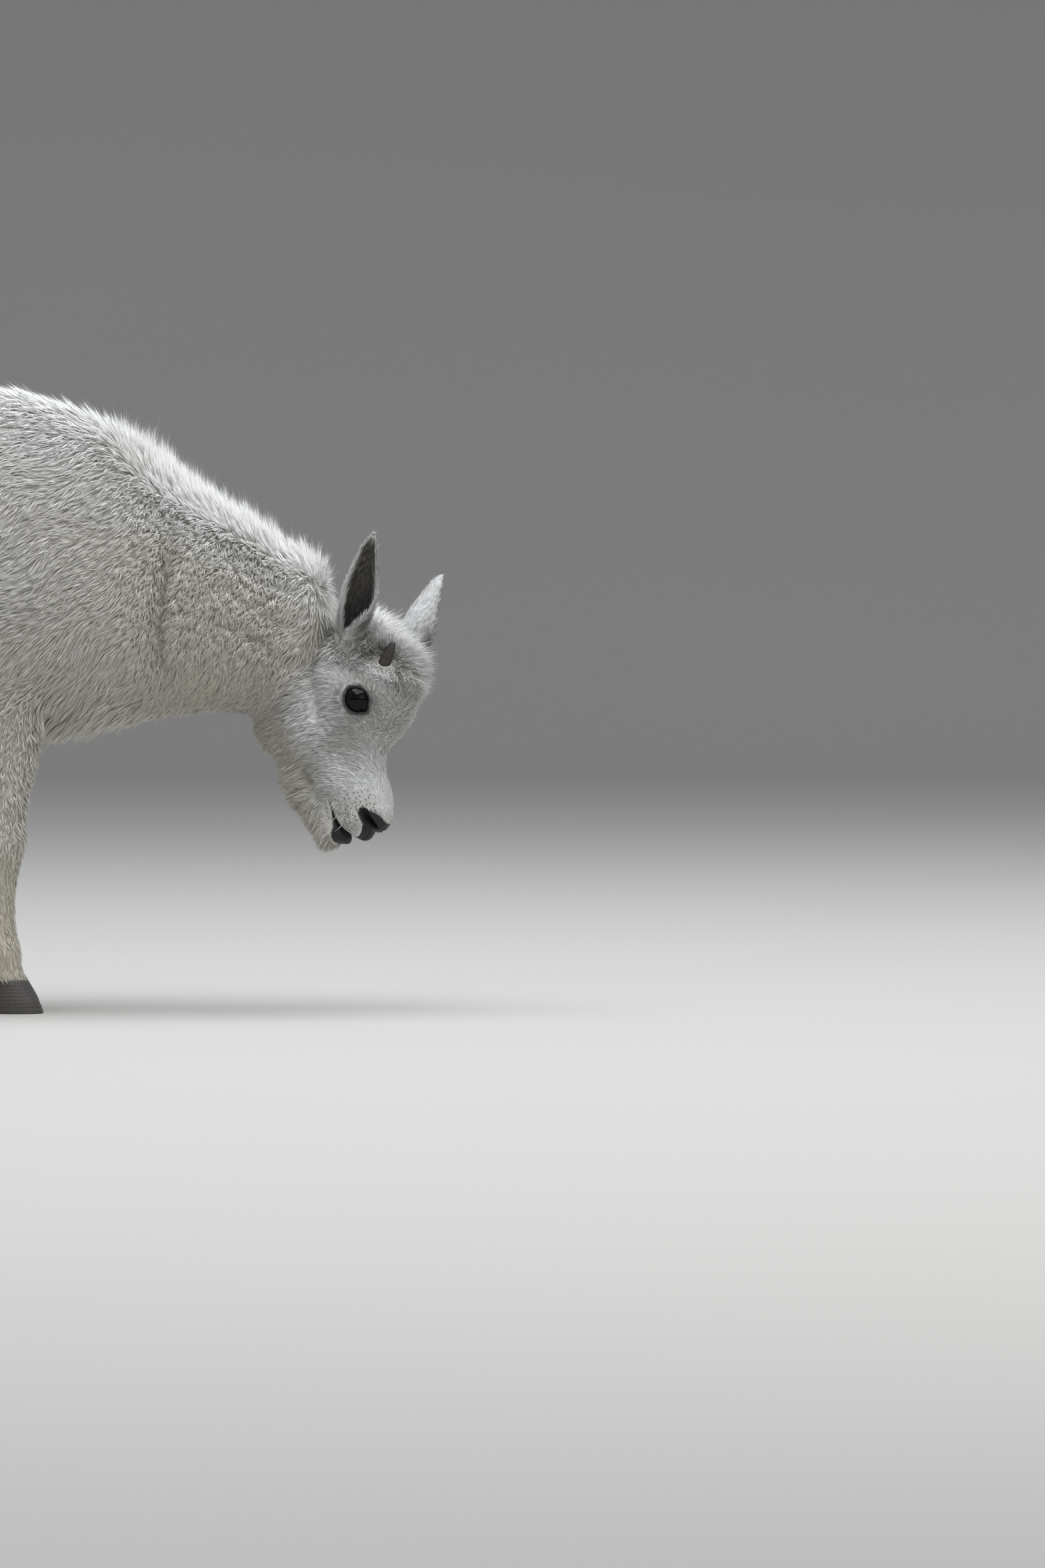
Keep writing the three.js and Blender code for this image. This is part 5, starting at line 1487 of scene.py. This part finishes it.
def build_studio(settings):
    scene = bpy.context.scene
    scene.view_settings.view_transform = "Standard"
    middle = Vector(((VIEW_AHEAD + ORIGIN_X) * MM, 0, VIEW_HEIGHT))
    camera = place_in_scene("camera", bpy.data.cameras.new("camera"))
    camera.location = (middle.x, CAMERA_Y, CAMERA_Z)
    aim(camera, middle)
    camera.data.sensor_width = SENSOR
    camera.data.lens = SENSOR * (middle - camera.location).length / FRAME_HEIGHT
    scene.camera = camera

    world = bpy.data.worlds.new("studio")
    world.use_nodes = True
    background = world.node_tree.nodes["Background"]
    background.inputs["Color"].default_value = (*linear("#dfe4ea"), 1)
    background.inputs["Strength"].default_value = settings.ambient
    scene.world = world
    for name, location, size, power, hue in (
        ("sky_light", (0.3, -0.4, 4.0), 5.0, settings.sky_power, "#f1f5fb"),
        ("side_light", (1.6, -2.6, 1.3), 1.6, settings.side_power, "#fff9f0"),
    ):
        light = bpy.data.lights.new(name, "AREA")
        light.shape = "SQUARE"
        light.size = size
        light.energy = power
        light.color = linear(hue)
        lamp = place_in_scene(name, light)
        lamp.location = location
        aim(lamp, LIGHTS_AIM)

    # a round floor that curves up far away, the same from every side
    far, radius, around = settings.floor_reach, FLOOR_CURVE, 96
    angle = np.pi / 2 * np.arange(1, 13) / 12
    reach = np.concatenate([[0.02, far / 2, far], far + radius * np.sin(angle)])
    height = np.concatenate([[0.0, 0.0, 0.0], radius * (1 - np.cos(angle))])
    i, turn = ring_grid(len(reach), around)
    points = circle(turn, [1, 0, 0], [0, 1, 0]) * reach[i][:, None] + np.outer(height[i], [0, 0, 1])
    faces = join_forms([(points, around)])[1]
    turned = [face[::-1] for face in faces[:-1]]  # the side towards the animal; the top stays open
    paint = material(studio_floor_paint, settings.floor_colour, far + radius, radius)
    plain_mesh("studio_floor", points, turned, paint)


# Add-on

def number(name, description, default, low, high, **more):
    return bpy.props.FloatProperty(name=name, description=description, default=default, min=low,
                                   max=high, **more)


class GoatSettings(bpy.types.PropertyGroup):
    coat_density: number("Coat density", "Tufts for each one of the usual coat", 1.0, 0.1, 1.3,
                         subtype="FACTOR")
    coat_length: number("Coat length", "Length of the tufts against the usual coat", 1.0, 0.5, 1.3,
                        subtype="FACTOR")
    skin_step: number("Skin step", "Size of the skin's faces on the trunk, before the head's are split",
                      0.0049, 0.004, 0.01, unit="LENGTH")
    whisker_thickness: number("Whisker thickness", "Radius of a whisker at its root", 0.00028,
                              0.00005, 0.0005, unit="LENGTH")
    ambient: number("Ambient light", "Strength of the pale surroundings", 0.48, 0.0, 3.0)
    sky_power: number("Sky light", "Power of the soft light above", 320.0, 0.0, 900.0, unit="POWER")
    side_power: number("Side light", "Power of the soft light beside the camera", 7.0, 0.0, 900.0,
                       unit="POWER")
    floor_colour: bpy.props.FloatVectorProperty(
        name="Floor", description="Colour of the studio floor", subtype="COLOR", size=3, min=0,
        max=1, default=tuple(linear("#b9b6b1")))
    floor_reach: number("Floor", "From the animal to where the floor curves up", 8.5, 6.5, 20.0,
                        unit="LENGTH")


def needed_skin():
    skin = bpy.data.objects.get("skin")
    if skin is None:
        raise RuntimeError("this needs the skin first")
    return skin


class GOAT_OT_skin(bpy.types.Operator):
    """Builds the skin with its eyelids, ears, nostrils and lips"""
    bl_idname = "goat.skin"
    bl_label = "Build skin"

    def execute(self, context):
        skin = build_skin(material(goat_skin), context.scene.goat_kid.skin_step / MM)
        finish_piece(skin, "coat", "torso", "neck", "head", "tail", *EARS, *LEGS)
        return {"FINISHED"}


class GOAT_OT_coat(bpy.types.Operator):
    """Grows the coat on the skin as joined tufts"""
    bl_idname = "goat.coat"
    bl_label = "Grow coat"

    def execute(self, context):
        settings = context.scene.goat_kid
        build_coat(needed_skin(), settings.coat_density, settings.coat_length, material(goat_hair))
        return {"FINISHED"}


class GOAT_OT_eyes(bpy.types.Operator):
    """Builds the two eyeballs"""
    bl_idname = "goat.eyes"
    bl_label = "Build eyes"

    def execute(self, context):
        for side in SIDES:
            finish_piece(build_eye(side), "eye", "eye_" + SIDE_NAMES[side])
        return {"FINISHED"}


class GOAT_OT_horns(bpy.types.Operator):
    """Builds the two horn buds"""
    bl_idname = "goat.horns"
    bl_label = "Build horn buds"

    def execute(self, context):
        for side in SIDES:
            finish_piece(build_horn(side), "horn", "horn_bud_" + SIDE_NAMES[side])
        return {"FINISHED"}


class GOAT_OT_hooves(bpy.types.Operator):
    """Builds the claws and dewclaws of the four feet"""
    bl_idname = "goat.hooves"
    bl_label = "Build hooves"

    def execute(self, context):
        for name, leg in LEGS.items():
            nodes = [name.replace("leg", kind) + "_" + claw
                     for kind in ("hoof", "dewclaw") for claw in ("outer", "inner")]
            finish_piece(build_foot(name.replace("leg", "foot"), leg), "hoof", *nodes)
        return {"FINISHED"}


class GOAT_OT_whiskers(bpy.types.Operator):
    """Grows whiskers, chin bristles and lashes"""
    bl_idname = "goat.whiskers"
    bl_label = "Grow whiskers"

    def execute(self, context):
        thickness = context.scene.goat_kid.whisker_thickness / MM
        for piece in build_whiskers(*skin_points(needed_skin()), thickness):
            finish_piece(piece, "coat")
        return {"FINISHED"}


class GOAT_OT_studio(bpy.types.Operator):
    """Builds the floor, the lights and the camera"""
    bl_idname = "goat.studio"
    bl_label = "Build studio"

    def execute(self, context):
        build_studio(context.scene.goat_kid)
        return {"FINISHED"}


OPERATORS = (GOAT_OT_skin, GOAT_OT_coat, GOAT_OT_eyes, GOAT_OT_horns, GOAT_OT_hooves,
             GOAT_OT_whiskers, GOAT_OT_studio)


class GOAT_PT_panel(bpy.types.Panel):
    """Lists the goat kid's pieces and settings"""
    bl_idname = "GOAT_PT_panel"
    bl_label = "Mountain goat kid"
    bl_space_type = "VIEW_3D"
    bl_region_type = "UI"
    bl_category = "Goat kid"

    def draw(self, context):
        for name in GoatSettings.__annotations__:
            self.layout.prop(context.scene.goat_kid, name)
        for operator in OPERATORS:
            self.layout.operator(operator.bl_idname)


CLASSES = (GoatSettings, *OPERATORS, GOAT_PT_panel)


def register():
    for item in CLASSES:
        bpy.utils.register_class(item)
    bpy.types.Scene.goat_kid = bpy.props.PointerProperty(type=GoatSettings)


def unregister():
    del bpy.types.Scene.goat_kid
    for item in reversed(CLASSES):
        bpy.utils.unregister_class(item)


def main():
    register()
    for operator in OPERATORS:
        group, name = operator.bl_idname.split(".")
        getattr(getattr(bpy.ops, group), name)()
    bpy.context.view_layer.update()


if __name__ == "__main__":
    main()
